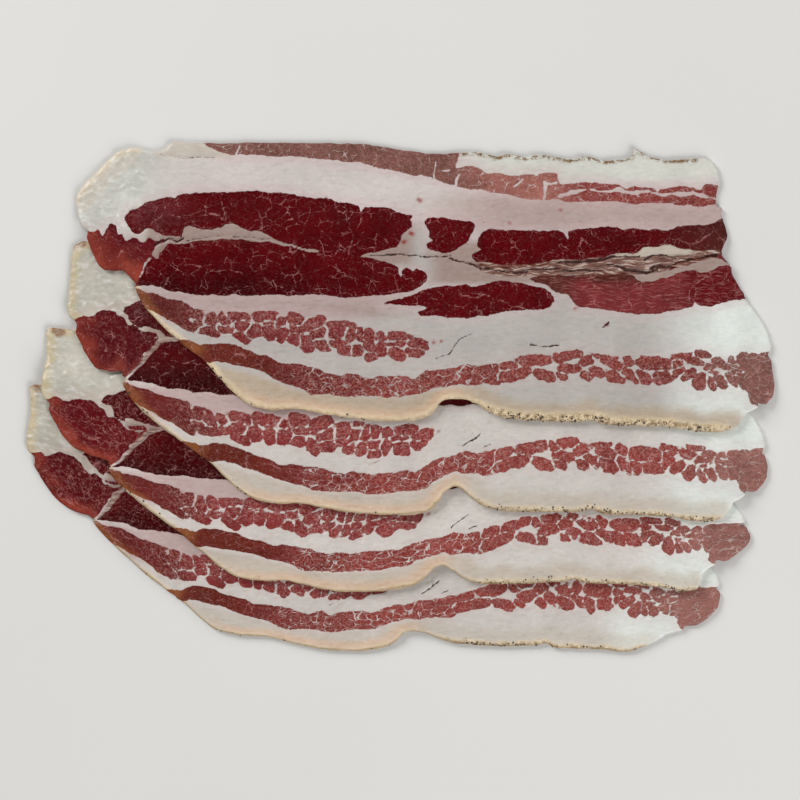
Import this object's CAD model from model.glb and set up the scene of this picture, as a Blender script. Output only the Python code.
"""Looks of a stack of overlapping slices of dry-cured streaky bacon.

Every slice is one sheet of meat. Its fat, lean, torn seam and peppered rind follow one section, traced on
the top slice in millimetres and carried to the slices below it by a smooth shift between landmarks.
"""
from __future__ import annotations

import logging
import math
from dataclasses import dataclass, field
from enum import Enum

import bpy
import numpy as np
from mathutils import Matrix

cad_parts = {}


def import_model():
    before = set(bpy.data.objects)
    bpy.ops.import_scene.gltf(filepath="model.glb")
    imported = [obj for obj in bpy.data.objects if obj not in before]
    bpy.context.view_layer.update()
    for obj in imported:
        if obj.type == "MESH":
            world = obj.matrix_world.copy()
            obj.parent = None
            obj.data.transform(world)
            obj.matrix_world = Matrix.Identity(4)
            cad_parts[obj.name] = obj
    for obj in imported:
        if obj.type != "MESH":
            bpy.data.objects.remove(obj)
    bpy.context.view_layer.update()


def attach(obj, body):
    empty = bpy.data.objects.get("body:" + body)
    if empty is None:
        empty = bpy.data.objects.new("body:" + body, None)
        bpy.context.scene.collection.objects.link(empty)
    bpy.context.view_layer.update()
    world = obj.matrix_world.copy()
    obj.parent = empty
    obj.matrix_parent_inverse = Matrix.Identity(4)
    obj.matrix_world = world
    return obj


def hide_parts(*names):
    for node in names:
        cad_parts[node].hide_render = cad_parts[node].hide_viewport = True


LOG = logging.getLogger("bacon")
Points = list[tuple[float, float]]
Bundle = tuple[float, float, float, float, float]
Marks = tuple[float, ...]
Layers = list[tuple[np.ndarray, np.ndarray]]
Values = dict[str | int, object]
Socket = bpy.types.NodeSocket

# one millimetre in metres; the section's own sizes are all in millimetres
MM = 0.001
# points that a smooth curve has for each point given
CURVE_STEPS = 6
# the lattice of the smooth noise, and how far its middle is from its corner, in cells
LATTICE = 256
LATTICE_MIDDLE = 64.0
# the crags along a slice's edge
CRAG_HEIGHT = 0.28
CRAG_SIZE = 1.7
# how far the lean lies below the fat
LEAN_SINK = 0.20
# where the placed bundles take over from the plain streaks and the plain belly strip
BUNDLES_LEFT = -80.0
BUNDLES_RIGHT = 34.5
# how far from a muscle its depth is still measured, and what counts as far from a seam
LOOP_REACH = 6.0
FAR_AWAY = 5.0
# how many points of the top edge the burnt line follows
BURNT_EDGE = 19
# how high a slice is lifted by one below it, how far past that one's edge it stays lifted, and over
# how far it comes down
CLIMB = 2.15
CLIMB_MARGIN = 1.0
CLIMB_RUN = 13.0
# how far apart the slices lie in their finish's noise
FINISH_SPACING = 31.0
# the sheet's level above which a place is on the cut face
FACE_LEVEL = 0.75
# how wide the camera's sensor is
SENSOR = 36.0
# the plain fields that the finish and the crumbs read from the mesh
MESH_FIELDS = (
    "lean", "bundles", "grain", "cells", "fibre", "curl", "seam", "thread", "crack", "torn", "scorch",
    "crumple", "pepper", "dry")

# the slice's edge in five runs, round from the rind's left end
RIND_EDGE = [
    (-95.9, 38.6), (-92.4, 32.2), (-86, 25.1), (-78, 18.2), (-69.6, 11.4), (-62, 3.1), (-56.5, -1.8),
    (-48, -4.9), (-38.5, -4.6), (-28, -6.3), (-15, -8.3), (0, -9), (9.5, -7.1), (14.6, -1.9),
    (20, -0.9), (26.5, -2.6), (34, -7), (45, -8.7), (62, -9.1), (68.5, -8.5), (74.5, -10.2),
    (95, -11), (108, -12.8), (117.5, -12.3)]
RIGHT_EDGE = [
    (122.6, -8.6), (123.9, -6.4), (128.2, -4.2), (128.6, -2.4), (132, -2.7), (134.6, 3),
    (133.6, 12.4), (132.3, 14.6), (133.2, 18.6), (130.6, 26.2), (124.2, 35.8), (119.6, 43.8),
    (118.2, 47.6), (115.3, 51.2), (117.7, 58.4), (115.8, 64.6), (115.7, 67.6), (113.4, 70.3),
    (114.8, 79), (111.6, 85.3)]
TOP_EDGE = [
    (106, 85.8), (95.5, 85.4), (88.5, 87.2), (84.4, 89.3), (82.6, 86.2), (74, 85.1), (66, 86.8),
    (61, 85.6), (50.5, 87.2), (44.5, 86.4), (38, 87.6), (34, 86.5), (27, 88.3), (14, 87.5),
    (3, 88.7), (-9, 90.3), (-17, 91.3), (-36, 91.5), (-56, 91.6), (-75, 91.4), (-82, 91.9),
    (-87.3, 88.5), (-95, 89.4)]
TRIMMED_CORNER = [(-99.5, 89.2), (-103.5, 87.4), (-113, 78), (-117.6, 71.5)]
SQUARE_CORNER = [(-107, 89.2), (-116.2, 88.4), (-117.8, 83), (-118.1, 77), (-118, 70.8)]
LEFT_EDGE = [
    (-116, 62.4), (-113.3, 59.6), (-113.1, 55.6), (-109, 47.2), (-104.6, 45.2), (-100.2, 45.2),
    (-98.4, 43.1), (-95.8, 40.6)]

# every loop runs round one muscle of the top slice
MUSCLES = {
    "lobe": [
        (-114.5, 59.4), (-111.2, 59.6), (-109.8, 60.2), (-108, 57.8), (-107, 60.2), (-105.2, 62.2),
        (-103.2, 61.6), (-102.6, 58.5), (-100.6, 58.2), (-99.2, 56.2), (-96.5, 56.9), (-94, 55.2),
        (-92, 55.4), (-90.8, 57), (-88, 56.2), (-84.5, 56.6), (-84, 55.6), (-87.6, 54.8), (-89.2, 52.8),
        (-89.2, 50.2), (-91.5, 49.8), (-93, 47), (-94.5, 43), (-95.5, 39.5), (-100, 41.5), (-101, 44),
        (-106, 43.5), (-112, 47), (-114.5, 52)],
    "upper_dark": [
        (-99.6, 64.8), (-98.2, 66.8), (-95.5, 68.1), (-92, 69.9), (-88, 71.3), (-84, 71.9), (-82.3, 71.5),
        (-80, 72.7), (-75, 73.6), (-68, 73.8), (-60, 73.7), (-52, 73.9), (-44, 73.6), (-36, 72.6),
        (-30, 71.6), (-26.5, 71.2), (-23.5, 70.1), (-19, 69.4), (-15.4, 68.9), (-14.4, 66.6),
        (-13.2, 68.6), (-8, 68.5), (-4.5, 68), (0, 66.5), (3.8, 65), (3.5, 63.4), (4, 61.8), (2.4, 59.8),
        (0.2, 57.6), (-0.8, 55), (-2.6, 53.4), (-7, 52.9), (-11.8, 51.9), (-15, 50.8), (-20, 51.2),
        (-26, 52), (-30.5, 52.9), (-35, 53.4), (-38, 54.3), (-42, 55.6), (-46, 56.7), (-48.2, 58),
        (-51, 59), (-54, 59.5), (-58, 60.6), (-61, 61.8), (-63, 62.2), (-65, 61.3), (-67, 60.2),
        (-70, 60), (-73.5, 60.5), (-76.5, 61.2), (-78.2, 60.4), (-79, 58.4), (-79.6, 56.8), (-82, 56.4),
        (-85.5, 57.8), (-88.4, 59.2), (-90.6, 60.4), (-92.2, 60.2), (-93.6, 58.6), (-95.8, 58.6),
        (-97.6, 60.2), (-99.2, 62.4)],
    "lower_dark": [
        (-95.2, 40.1), (-94, 43.2), (-92.6, 46.4), (-91, 49.2), (-89, 50.6), (-87.2, 52.6), (-85.4, 54.3),
        (-81, 54.7), (-77, 55.3), (-73, 56), (-69, 55.9), (-64, 56.4), (-58, 56.4), (-54.4, 55.7),
        (-49, 55.8), (-44, 54.8), (-39, 53.8), (-35, 52.5), (-31.5, 52), (-26, 52.4), (-20, 51.6),
        (-15, 50.4), (-11, 49.7), (-7, 48.8), (-3, 47.3), (-1.2, 46), (-0.4, 43.4), (0.5, 43.1),
        (0.5, 45.4), (2, 46), (3.6, 45.7), (4.3, 44.7), (5.2, 45.9), (7.2, 45.5), (8.8, 44.2),
        (9.4, 42.8), (8.6, 41.2), (6.4, 39.4), (3.4, 38.1), (0, 37.2), (-5, 36.5), (-12, 36),
        (-17, 35.8), (-20.5, 35.2), (-25, 35.8), (-31, 36.4), (-36, 36.7), (-42, 36.3), (-50, 36.3),
        (-60, 36.4), (-70, 36.5), (-77, 36.9), (-83, 37.9), (-88, 39.4), (-92, 40.1)],
    "middle": [
        (8.4, 63.6), (10.2, 64.7), (14, 64.5), (18.5, 63.8), (24.6, 63.3), (26.7, 61.1), (25.2, 58.7),
        (23.6, 56), (21.4, 53.6), (18.5, 51.7), (15.5, 51.2), (12, 51.9), (9.2, 53.2), (9, 55),
        (11, 56.4), (9.8, 57.8), (9.9, 60), (8.8, 61.8)],
    "right_dark": [
        (27.1, 55.4), (28, 57.6), (30.4, 59.5), (34, 60.2), (41, 60), (49, 59.6), (56.5, 59.5),
        (58.6, 58.4), (59.6, 55.6), (60.2, 59.4), (64, 60.1), (69, 60.4), (73, 61.1), (77.5, 61),
        (79.2, 60.2), (84, 60.6), (90, 60.3), (96, 60.2), (100.5, 61.3), (107, 61.7), (112, 62.2),
        (116.5, 64.6), (119, 60), (118, 53), (115.4, 50.9), (112, 52.3), (106, 52.5), (100.5, 53.3),
        (96.3, 54.6), (91.5, 53.9), (87.5, 53.5), (84.5, 51.9), (78, 51.1), (71, 49.8), (63, 49.2),
        (54.2, 48.9), (53.6, 47), (48, 46.5), (42, 46.6), (37, 45.9), (32, 46.4), (27.5, 47.9),
        (25.2, 49.8), (25.4, 51.4), (28.2, 52.4), (27.3, 53.8)],
    "spindle": [
        (-6.6, 33.2), (-4, 34.1), (0.5, 35.4), (5, 37), (10, 38.7), (14, 39.4), (19, 39.6), (22.8, 40),
        (24.6, 39.2), (27.5, 39.8), (31.5, 41.2), (36, 41.6), (41, 40.9), (46, 40), (50.5, 38.6),
        (53.6, 36.9), (54.7, 35.2), (53.8, 33.2), (51, 31.5), (46, 31.1), (40, 30.6), (34, 29.8),
        (28, 28.6), (22, 28), (16, 28), (11, 28.8), (7, 29.2), (6, 30.6), (8.8, 31.6), (6, 32.7),
        (1, 32.5), (-3.5, 32.7)],
    "flank": [
        (46, 42.4), (52, 43.8), (60, 43.5), (68, 44.7), (76, 45.3), (82, 44.2), (85.5, 41.6), (89, 41.4),
        (94, 42.7), (99, 44.2), (104, 45.3), (109.5, 44.9), (112.5, 45.9), (116, 47.3), (118.6, 46.8),
        (122, 42), (125.5, 36.4), (121, 34.8), (115, 33.8), (110, 32.4), (106.3, 32.9), (104.8, 33.8),
        (104.2, 32.2), (100, 30.9), (95, 30), (89, 29.5), (83, 29.7), (77, 30.3), (71, 31.3), (66, 32),
        (62.6, 32.6), (61, 34.4), (59.4, 36.4), (56.6, 37.2), (54.8, 37.6), (52, 39.6), (49, 40.9)],
    "sliver": [
        (99, 48.9), (104, 50.3), (109, 50.8), (114.5, 50.9), (117.5, 49.8), (118.2, 48.6), (114, 49.6),
        (110, 49.3), (105, 47.6), (100, 46.6), (96, 45.6), (97, 47.4)],
    "streaks": [
        (-95.5, 38.4), (-92, 37), (-88, 35.5), (-84, 34.2), (-79, 33), (-75, 31.8), (-70, 30),
        (-64, 29.2), (-57, 29), (-52, 29.2), (-48, 29.8), (-44, 29), (-38, 29.3), (-35, 27.6),
        (-31.5, 27.9), (-28.2, 26.2), (-23, 26.6), (-19, 26.2), (-16, 24.6), (-9, 23.8), (-5, 22.4),
        (1, 21.9), (5.5, 20.8), (8.4, 20.1), (8.9, 18.6), (7.4, 17), (6.6, 15), (2, 13.3), (-4, 14),
        (-9, 12.9), (-12.5, 13.3), (-14.5, 15.2), (-20, 15.1), (-25, 17), (-29, 17), (-33, 16.7),
        (-37, 17.6), (-41, 19.4), (-47, 19.7), (-52, 20.8), (-57, 20.4), (-62, 22.3), (-67, 21.8),
        (-72, 22.9), (-78, 24.8), (-83, 28), (-88, 30.6), (-91.6, 32.4), (-95, 35)],
    "strip": [
        (-80.5, 19.6), (-76, 19.5), (-72.6, 18.2), (-68, 18.6), (-63, 18.4), (-57, 16.9), (-52, 14.9),
        (-48, 14), (-44.6, 12), (-40, 11.6), (-35, 10.8), (-29.6, 9.9), (-27.6, 8.5), (-22.5, 7.3),
        (-19, 8.1), (-15, 7.7), (-11.5, 6.3), (-9, 6.9), (-4, 7.2), (1.5, 7.2), (4, 6.2), (7, 8),
        (12, 9.3), (17, 9.6), (22, 10.8), (28, 10.8), (34, 11.6), (37, 12.7), (40.4, 12.6), (41.2, 14.2),
        (48, 14.9), (55, 15.1), (58, 16.1), (64.5, 16.5), (68, 15.7), (75, 15.2), (80, 15), (84, 13.6),
        (90, 14), (95.5, 14.2), (103, 15.3), (106, 16.4), (111.5, 15.6), (114.5, 14), (120, 13.9),
        (124, 14.6), (128, 13.9), (133.4, 13.9), (136, 6), (134.6, -2), (131, -3.4), (128.2, -2.2),
        (126.4, 0.4), (127.6, 2.6), (124, 3.4), (120, 3.8), (116.8, 3), (112.5, 2.4), (107, 2.5),
        (104.6, 4.4), (102, 6), (98, 6.6), (93.5, 4.1), (89, 4.6), (86.5, 4.4), (81, 6.8), (76, 5.2),
        (71, 6.2), (65.5, 5.8), (61, 8.2), (57, 5.9), (50, 6.3), (46.2, 9), (42, 7.4), (37, 5), (32.5, 3.9),
        (29, 4.6), (24, 4.2), (17, 4), (11, 3), (6.5, 0.9), (0, 0.3), (-7, -0.3), (-14, 0), (-22, 0.4),
        (-29, 0.6), (-33, 1.3), (-37, 3.4), (-41, 4.6), (-45, 6), (-49, 8.1), (-54, 10), (-59, 11.2),
        (-64, 12.1), (-67, 12.6), (-70.5, 12.4)],
    "top_strip": [
        (-71, 92.5), (-69, 89.6), (-66, 88), (-61.8, 86.8), (-57, 87.4), (-50, 86.8), (-42, 86.4),
        (-35, 86.4), (-29, 85.3), (-22, 85.2), (-15, 83.9), (-8, 82.4), (-1, 81.1), (6, 79.7),
        (12.5, 78.3), (18, 76.6), (24, 75.1), (30, 74.4), (36, 73), (43, 71.6), (50, 71.2), (57, 70.8),
        (60, 70.2), (68, 70.2), (78, 70.1), (86, 69.4), (94, 69.7), (102, 69), (108, 68.7),
        (113.6, 69.4), (116, 72), (115, 75.6), (109.5, 76.6), (107.6, 74.6), (104, 75.6), (95, 75.2),
        (92.6, 74), (90, 75.3), (83.5, 75.8), (81, 74.4), (78.8, 75.8), (72, 77.1), (64, 77.1),
        (57.6, 76.5), (56.2, 78.4), (55.2, 80.7), (47, 80.3), (40, 79.8), (35, 80.8), (31, 80.7),
        (27.5, 82.6), (23.5, 83.2), (19.5, 82.5), (20.3, 86.4), (17, 89.6), (-10, 92), (-40, 93)],
}

# one row for each place on the section, with its position in slices one to four
LANDMARKS = [
    [(-95.9, 38.6), (-100, 4.4), (-105.6, -26.4), (-111.5, -45.5)],
    [(-79, 19), (-77.6, -17.6), (-80.6, -48.8), (-83.6, -71.2)],
    [(-69.6, 11.4), (-68.6, -24), (-73.4, -54.8), (-78.8, -74.4)],
    [(-59.5, 0.8), (-58, -33.8), (-62, -63.7), (-69, -83)],
    [(-48, -4.9), (-46, -38.5), (-50, -66.6), (-58, -86.3)],
    [(0, -9), (-2, -42.6), (-10, -70.3), (-16, -92)],
    [(13, -3.6), (13.4, -37.4), (9.4, -64.4), (-0.6, -87)],
    [(20, -0.9), (19.3, -32.4), (15, -61), (4.5, -84.8)],
    [(28, -3.6), (25.6, -37.2), (21, -65), (10.8, -86.6)],
    [(38.5, -8.2), (39, -41.5), (34, -67.8), (27, -89.9)],
    [(68.5, -8.5), (68, -40.7), (62, -66), (52, -89.4)],
    [(108, -12.8), (106, -44.8), (99.5, -70), (82, -92.3)],
    [(117.5, -12.3), (114.4, -44.2), (106, -69.6), (88, -90.2)],
    [(128.2, -4.2), (123.4, -36), (112.4, -61), (101, -84.6)],
    [(134.6, 3), (131.9, -29), (125.2, -53), (114, -77)],
    [(132.3, 14.6), (130.2, -20.4), (122.8, -46.4), (113.4, -69.5)],
    [(8.9, 18.6), (10.6, -13.6), (6.8, -43.2), (-4, -67)],
    [(-33, 16.7), (-31, -19.7), (-35, -49.6), (-42, -71.6)],
    [(-50, 11.4), (-50, -25), (-53, -54.4), (-59, -75.8)],
    [(0, 3.8), (0, -30.8), (-8, -58.9), (-16, -80.9)],
    [(90.5, 11.8), (87.5, -20.4), (80.5, -46.3), (71, -69.8)],
    [(-75, 36.6), (-77, 1.8), (-81, -28.9), (-88, -49)],
    [(-113.3, 59.6), (-117.4, 26.5), (-127, -2.4), (-133, -22)],
    [(-109, 47.2), (-111.5, 11.6), (-120.4, -16.4), (-125, -37)],
    [(-100.2, 45.2), (-101, 9), (-106.8, -22.8), (-113, -43.2)],
    [(-118.2, 74), (-120.1, 40), (-128.7, 11), (-134.2, -8)],
    [(-116.2, 88.4), (-117.6, 55.2), (-127.2, 24.4), (-133.4, 4)],
    [(0, 89), (-1, 55), (-8, 26), (-14, 4)],
    [(114, 79), (110.5, 46), (104, 18), (94, -4)],
    [(118.2, 47.6), (117, 14), (109, -14), (98.5, -34)],
    [(130.6, 26.2), (128.6, -10), (120.6, -39.6), (111.4, -61)],
]

# where each slice's rind edge lifts: x, y, half width, half depth and height
RIPPLES = {
    1: [(19.5, -2.0, 8.0, 8.0, 0.9), (84.0, 88.0, 5.0, 4.0, 0.5)],
    2: [(19.3, -33.6, 8.0, 8.0, 0.8)],
    3: [(15.0, -62.2, 8.0, 8.0, 0.8)],
    4: [(4.5, -86.0, 9.0, 8.0, 0.8)],
}

# the fuller lobe of the three lower slices
LOWER_LOBE = [
    (-116.5, 58), (-114.2, 60.6), (-111.5, 62.4), (-109.4, 61.8), (-106.1, 64.2), (-102.5, 64.7),
    (-100.2, 63.3),
    (-98, 61.4), (-95.6, 59.5), (-92.6, 59), (-89.9, 58.4), (-87.2, 57.5), (-85.8, 55.2), (-86.6, 53.2),
    (-89.4, 51.6), (-91.9, 50.3), (-90.6, 48.3), (-92.6, 45.8), (-95.3, 43.4), (-98, 40.5), (-104, 42),
    (-112, 44), (-117, 50)]

# dark cracks: half width, depth, darkness and run
CRACKS = [
    (0.35, 0.5, 1.0, [(17, 49.4), (22, 48.6), (26, 47.4), (28.5, 46.0)]),
    (0.8, 0.6, 0.9, [(28, 46.6), (32, 45.8), (36, 45.0), (41, 44.4), (45, 44.8)]),
    (0.45, 0.6, 0.9, [(46, 45.6), (54, 45.8), (61, 45.2), (66, 45.6), (72, 45.4)]),
    (0.55, 0.7, 1.0, [(74, 47.4), (79, 46.4), (83, 45.0), (88, 44.8), (92, 45.0)]),
    (0.5, 0.6, 1.0, [(56, 48.0), (66, 48.8), (76, 49.9), (86, 50.6)]),
    (0.7, 0.6, 0.9, [(90, 46.2), (95, 46.8), (100, 48.6), (107, 49.6), (114, 50.6)]),
    (0.45, 0.5, 0.9, [(88, 49.2), (91, 50.8), (95, 51.0), (99, 49.6)]),
    (0.35, 0.4, 0.85, [(-13, 51.2), (-4, 50.9), (4, 50.6), (11, 50.1), (18, 50.2)]),
    (0.3, 0.4, 0.7, [(-78, 55.9), (-70, 57.2), (-63, 57.4), (-55, 57.3), (-47, 56.6), (-38, 54.7)]),
    (0.22, 0.35, 0.62, [(-89.6, 89.4), (-88.2, 87.6), (-85, 86.6), (-80, 86.2), (-73, 86.6), (-67, 86.0)]),
    (0.3, 0.3, 0.8, [(29.3, 62.3), (31, 62.1)]),
]
TOP_CRACKS = [
    (0.35, 0.6, 1.0, [(-88.6, 54.6), (-86.8, 56.4), (-85.4, 55.6), (-83.5, 56.6), (-81, 55.6),
        (-78.6, 57.0)]),
    (0.38, 0.4, 0.85, [(46.6, 18.6), (50, 18.0), (56.5, 18.4)]),
    (0.24, 0.25, 0.75, [(12, 13.6), (17, 14.8), (20.5, 20.6), (25, 22.6)]),
    (0.2, 0.2, 0.6, [(-6, 18.6), (-1, 19.6), (3, 19.4)]),
    (0.5, 0.3, 0.9, [(71.8, 24.8), (74.6, 26.6)]),
    (0.3, 0.3, 0.6, [(-36, 28.6), (-30, 28.2), (-27, 27.4)]),
]
LOWER_CRACKS = [
    (0.26, 0.3, 0.85, [(21.6, 13.2), (25, 15.0), (28.4, 17.8)]),
    (0.30, 0.3, 0.80, [(29.6, 13.0), (32.4, 13.8)]),
    (0.20, 0.2, 0.60, [(24.6, 18.4), (26.4, 16.2)]),
    (0.22, 0.2, 0.60, [(-13, 10.4), (-9, 11.8)]),
]

# the torn seam between the halves of the slice: x, y and half width
TORN_BAND = [
    (12, 49.8, 0.6), (20, 48.9, 1.1), (28, 46.9, 1.6), (36, 45.2, 1.8), (46, 45.3, 1.9), (56, 46.2, 2.3),
    (70, 46.9, 2.7), (85, 47.2, 3.1), (92, 47.8, 3.1), (100, 49.2, 2.4), (108, 50.6, 1.6), (115, 51.8, 0.8),
]

# pale seams through the lean: half width and run
SEAMS = [
    (0.40, [(-64.1, 70.2), (-63.6, 67.4), (-65.2, 65.3), (-68.8, 65.8)]),
    (0.28, [(-64.6, 65.8), (-61.6, 62.6)]),
    (0.28, [(-86, 70.5), (-85, 66.5), (-81.5, 64.6), (-76, 65.2)]),
    (0.26, [(-85, 66.5), (-88.6, 63.4), (-91, 61.6)]),
    (0.26, [(-81.5, 64.6), (-80.4, 61.4)]),
    (0.30, [(-40.6, 67), (-39.6, 63.8), (-37, 61)]),
    (0.25, [(-39.6, 63.8), (-43.6, 62.4)]),
    (0.45, [(-17.4, 58.8), (-18.2, 56), (-19.4, 53), (-19, 50.6)]),
    (0.30, [(-28.4, 59.6), (-25.2, 56.2), (-22, 54.2)]),
    (0.25, [(-14.4, 66.8), (-14.6, 63), (-15.6, 60)]),
    (0.26, [(-62.4, 48.4), (-61.4, 45.6), (-58, 43.6)]),
    (0.24, [(-61.4, 45.6), (-66.4, 44.6)]),
    (0.24, [(-24.6, 46.8), (-22, 43.6), (-18, 42.4), (-14, 43.4)]),
    (0.24, [(-78, 47.8), (-73, 46.4), (-69, 47.2)]),
    (0.22, [(-48, 49.6), (-44, 47.4), (-40, 47.8)]),
    (0.28, [(20, 37), (24, 35.4), (29, 36.6), (33, 35)]),
    (0.24, [(64, 57), (68, 54.6), (73, 53.8)]),
    (0.28, [(98, 57), (104, 55), (109, 56.4), (112, 60)]),
    (0.35, [(103, 33.6), (103.4, 37), (105.6, 40.4), (110, 43.8)]),
    (0.30, [(-103, 55.6), (-101.4, 52.4), (-97.6, 50.8)]),
    (0.24, [(-101.4, 52.4), (-102.6, 48.8)]),
    (0.30, [(-59.6, 92), (-59.5, 86.6)]),
    (0.40, [(12.4, 85), (12, 81.4), (11.4, 78)]),
    (0.35, [(12, 81.4), (17.4, 81.8)]),
    (0.35, [(20, 76), (21, 79.6)]),
    (0.40, [(43.4, 78.6), (40, 76.4)]),
    (0.55, [(51.4, 71), (51.6, 76.6), (55.4, 77.2)]),
    (0.45, [(56.6, 72.2), (61, 73.8), (70, 74.3), (80, 74), (90, 73.3), (96, 73.1), (105, 73.3),
        (114, 71.5)]),
]

# the same, on the top slice only and on the lower slices only
TOP_SEAMS = [
    (1.3, [(-88.8, 51.0), (-87.4, 53.4), (-84.6, 55.0), (-80, 56.4)]),
    (0.9, [(-90.2, 58.2), (-86.6, 57.6), (-82.4, 56.8)]),
]
LOWER_SEAMS = [
    (0.9, [(-94.6, 43.2), (-92.6, 46.2), (-90.6, 49.4), (-88.0, 52.4), (-85.6, 54.6), (-82.0, 55.8)]),
    (1.1, [(-101.4, 65.8), (-98.6, 63.6), (-96.6, 61.0)]),
    (0.5, [(-96.6, 61.0), (-93.4, 59.2), (-89.6, 58.6), (-84.6, 57.4)]),
    (0.35, [(-93.4, 59.2), (-92.4, 57.0), (-89.4, 55.4), (-87.0, 55.8)]),
]

# bundles of meat in the upper streaks: x, y, half length, half width and tilt
STREAK_BUNDLES = [
    (-86.2, 32.7, 6.0, 2.3, -28), (-79.7, 31.5, 5.4, 1.8, -20), (-74.1, 28.9, 4.6, 2.1, -8),
    (-68.9, 27.6, 2.9, 2.2, -15), (-77.4, 26.3, 4.2, 1.6, -30), (-73.0, 26.2, 2.9, 1.4, -15),
    (-69.2, 23.7, 3.9, 1.4, -15), (-64.1, 27.6, 2.3, 1.4, -30), (-63.6, 24.3, 2.3, 1.1, -10),
    (-58.1, 28.3, 3.7, 1.2, -6), (-57.4, 25.4, 2.2, 2.0, 20), (-57.4, 21.2, 3.0, 1.2, -25),
    (-49.2, 28.3, 4.4, 1.6, 3), (-43.5, 26.8, 1.7, 1.3, -30), (-38.4, 27.6, 2.7, 1.9, -30),
    (-52.8, 23.3, 2.5, 2.1, 10), (-47.7, 25.8, 1.2, 0.6, 0), (-47.4, 22.8, 2.4, 2.3, -60),
    (-43.4, 22.6, 2.6, 2.2, -40), (-37.2, 24.3, 2.6, 1.1, 5), (-31.7, 26.1, 3.8, 1.7, 18),
    (-38.1, 20.2, 2.5, 1.5, -25), (-34.5, 18.7, 3.1, 1.8, -45), (-29.4, 22.8, 3.5, 1.8, 25),
    (-24.0, 23.9, 3.2, 2.3, 0), (-19.1, 25.4, 1.8, 0.9, -10), (-18.4, 22.4, 1.9, 1.9, 0),
    (-15.2, 22.2, 1.9, 1.8, 0),
    (-28.3, 18.4, 2.9, 1.5, -20), (-23.0, 18.9, 2.9, 1.1, -8), (-20.2, 16.8, 2.3, 1.7, -12),
    (-16.0, 16.6, 2.2, 1.6, 0), (-11.6, 22.1, 2.4, 1.9, -20), (-7.1, 21.1, 2.4, 1.4, -15),
    (-11.6, 17.6, 2.2, 1.5, -20), (-10.9, 14.5, 2.2, 1.3, 0), (-7.5, 16.4, 2.0, 1.9, -35),
    (-0.8, 21.1, 4.2, 1.2, -5), (-2.7, 18.7, 3.3, 1.0, 5), (-1.6, 15.4, 3.0, 1.9, -20),
    (4.1, 16.0, 3.4, 1.3, -5), (5.5, 18.7, 3.6, 1.6, -8),
]

# bundles of meat in the right half of the belly strip
STRIP_BUNDLES = [
    (38.4, 11.1, 3.9, 1.6, 10), (47.0, 12.9, 6.5, 1.9, 3), (55.8, 13.4, 2.2, 1.5, -30),
    (60.4, 14.8, 4.1, 1.4, 12),
    (60.1, 10.1, 3.8, 1.7, 0), (66.3, 12.8, 2.9, 1.8, 20), (72.5, 14.2, 5.2, 1.0, -6),
    (75.7, 12.0, 4.2, 2.0, -22),
    (81.1, 12.5, 2.2, 1.6, -50), (90.3, 11.7, 6.1, 2.3, -3), (100.5, 14.2, 4.1, 1.1, 2),
    (98.7, 11.9, 2.4, 1.4, 15),
    (104.8, 12.9, 3.8, 1.3, -12), (108.3, 15.1, 3.1, 1.0, -5), (110.4, 10.3, 2.1, 1.3, -10),
    (113.8, 12.2, 2.4, 1.7, -30), (118.1, 10.2, 3.6, 1.4, -12), (118.8, 12.5, 1.7, 1.4, -60),
    (122.7, 12.4, 2.4, 2.0, -60), (126.6, 11.8, 2.5, 2.0, -60), (130.9, 10.9, 3.6, 3.0, -75),
    (40.1, 7.9, 6.6, 1.9, 14), (51.4, 7.5, 4.3, 1.8, -18), (56.8, 7.0, 2.3, 1.2, -25),
    (65.8, 7.2, 2.3, 1.5, -10),
    (70.3, 8.4, 4.0, 1.6, -28), (75.9, 6.8, 4.4, 1.9, -14), (82.1, 7.5, 3.9, 1.5, -42),
    (86.3, 6.5, 3.6, 2.0, -30),
    (93.3, 6.5, 3.9, 2.3, 0), (98.7, 8.4, 3.4, 1.2, 32), (103.0, 7.7, 3.2, 1.6, 30),
    (107.2, 5.3, 3.1, 2.3, 60),
    (111.0, 5.0, 2.9, 1.4, -70), (114.2, 5.5, 3.3, 1.5, -50), (112.0, 8.2, 2.2, 0.9, -15),
    (118.9, 6.3, 3.2, 1.6, -50), (121.7, 5.9, 2.9, 1.3, -60), (125.0, 5.2, 3.0, 1.7, -50),
    (130.6, 1.6, 4.2, 3.6, 60), (132.4, 6.2, 3.2, 2.6, 90), (127.6, 7.8, 2.8, 1.3, -20),
]

# small blood stains in the fat: x, y, radius and strength
STAINS = [
    (6.5, 70.8, 1.2, 0.8), (39, 62.6, 0.8, 0.6), (57.5, 67.2, 0.9, 0.8), (58, 64.6, 0.6, 0.6),
    (11.4, 19.2, 0.7, 0.7), (14.2, 19.6, 0.5, 0.6), (-80.6, 65.8, 3.0, 0.25), (73.2, 25.8, 1.1, 0.9),
    (28, 4.6, 0.5, 0.4), (-5.4, 56.6, 1.6, 0.8), (3.6, 58.6, 1.2, 0.9), (0.6, 55.4, 1.2, 0.8),
    (62.5, 31.6, 0.9, 0.6), (-74, -1.6, 0.6, 0.5),
]

# the lower edge of the belly strip
STRIP_FOOT = [
    (-95, 30), (-72, 12.5), (-52, 7.5), (-36, 2), (-10, -0.5), (12, 2.5), (40, 5.5), (80, 5.5),
    (110, 4), (134, 2)]


def srgb(red: float, green: float, blue: float) -> tuple[float, float, float, float]:
    """Turn an ordinary 0 to 255 screen colour into the linear colour a shader takes."""
    parts = []
    for value in (red, green, blue):
        share = value / 255.0
        parts.append(share / 12.92 if share <= 0.04045 else ((share + 0.055) / 1.055) ** 2.4)
    return parts[0], parts[1], parts[2], 1.0


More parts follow.
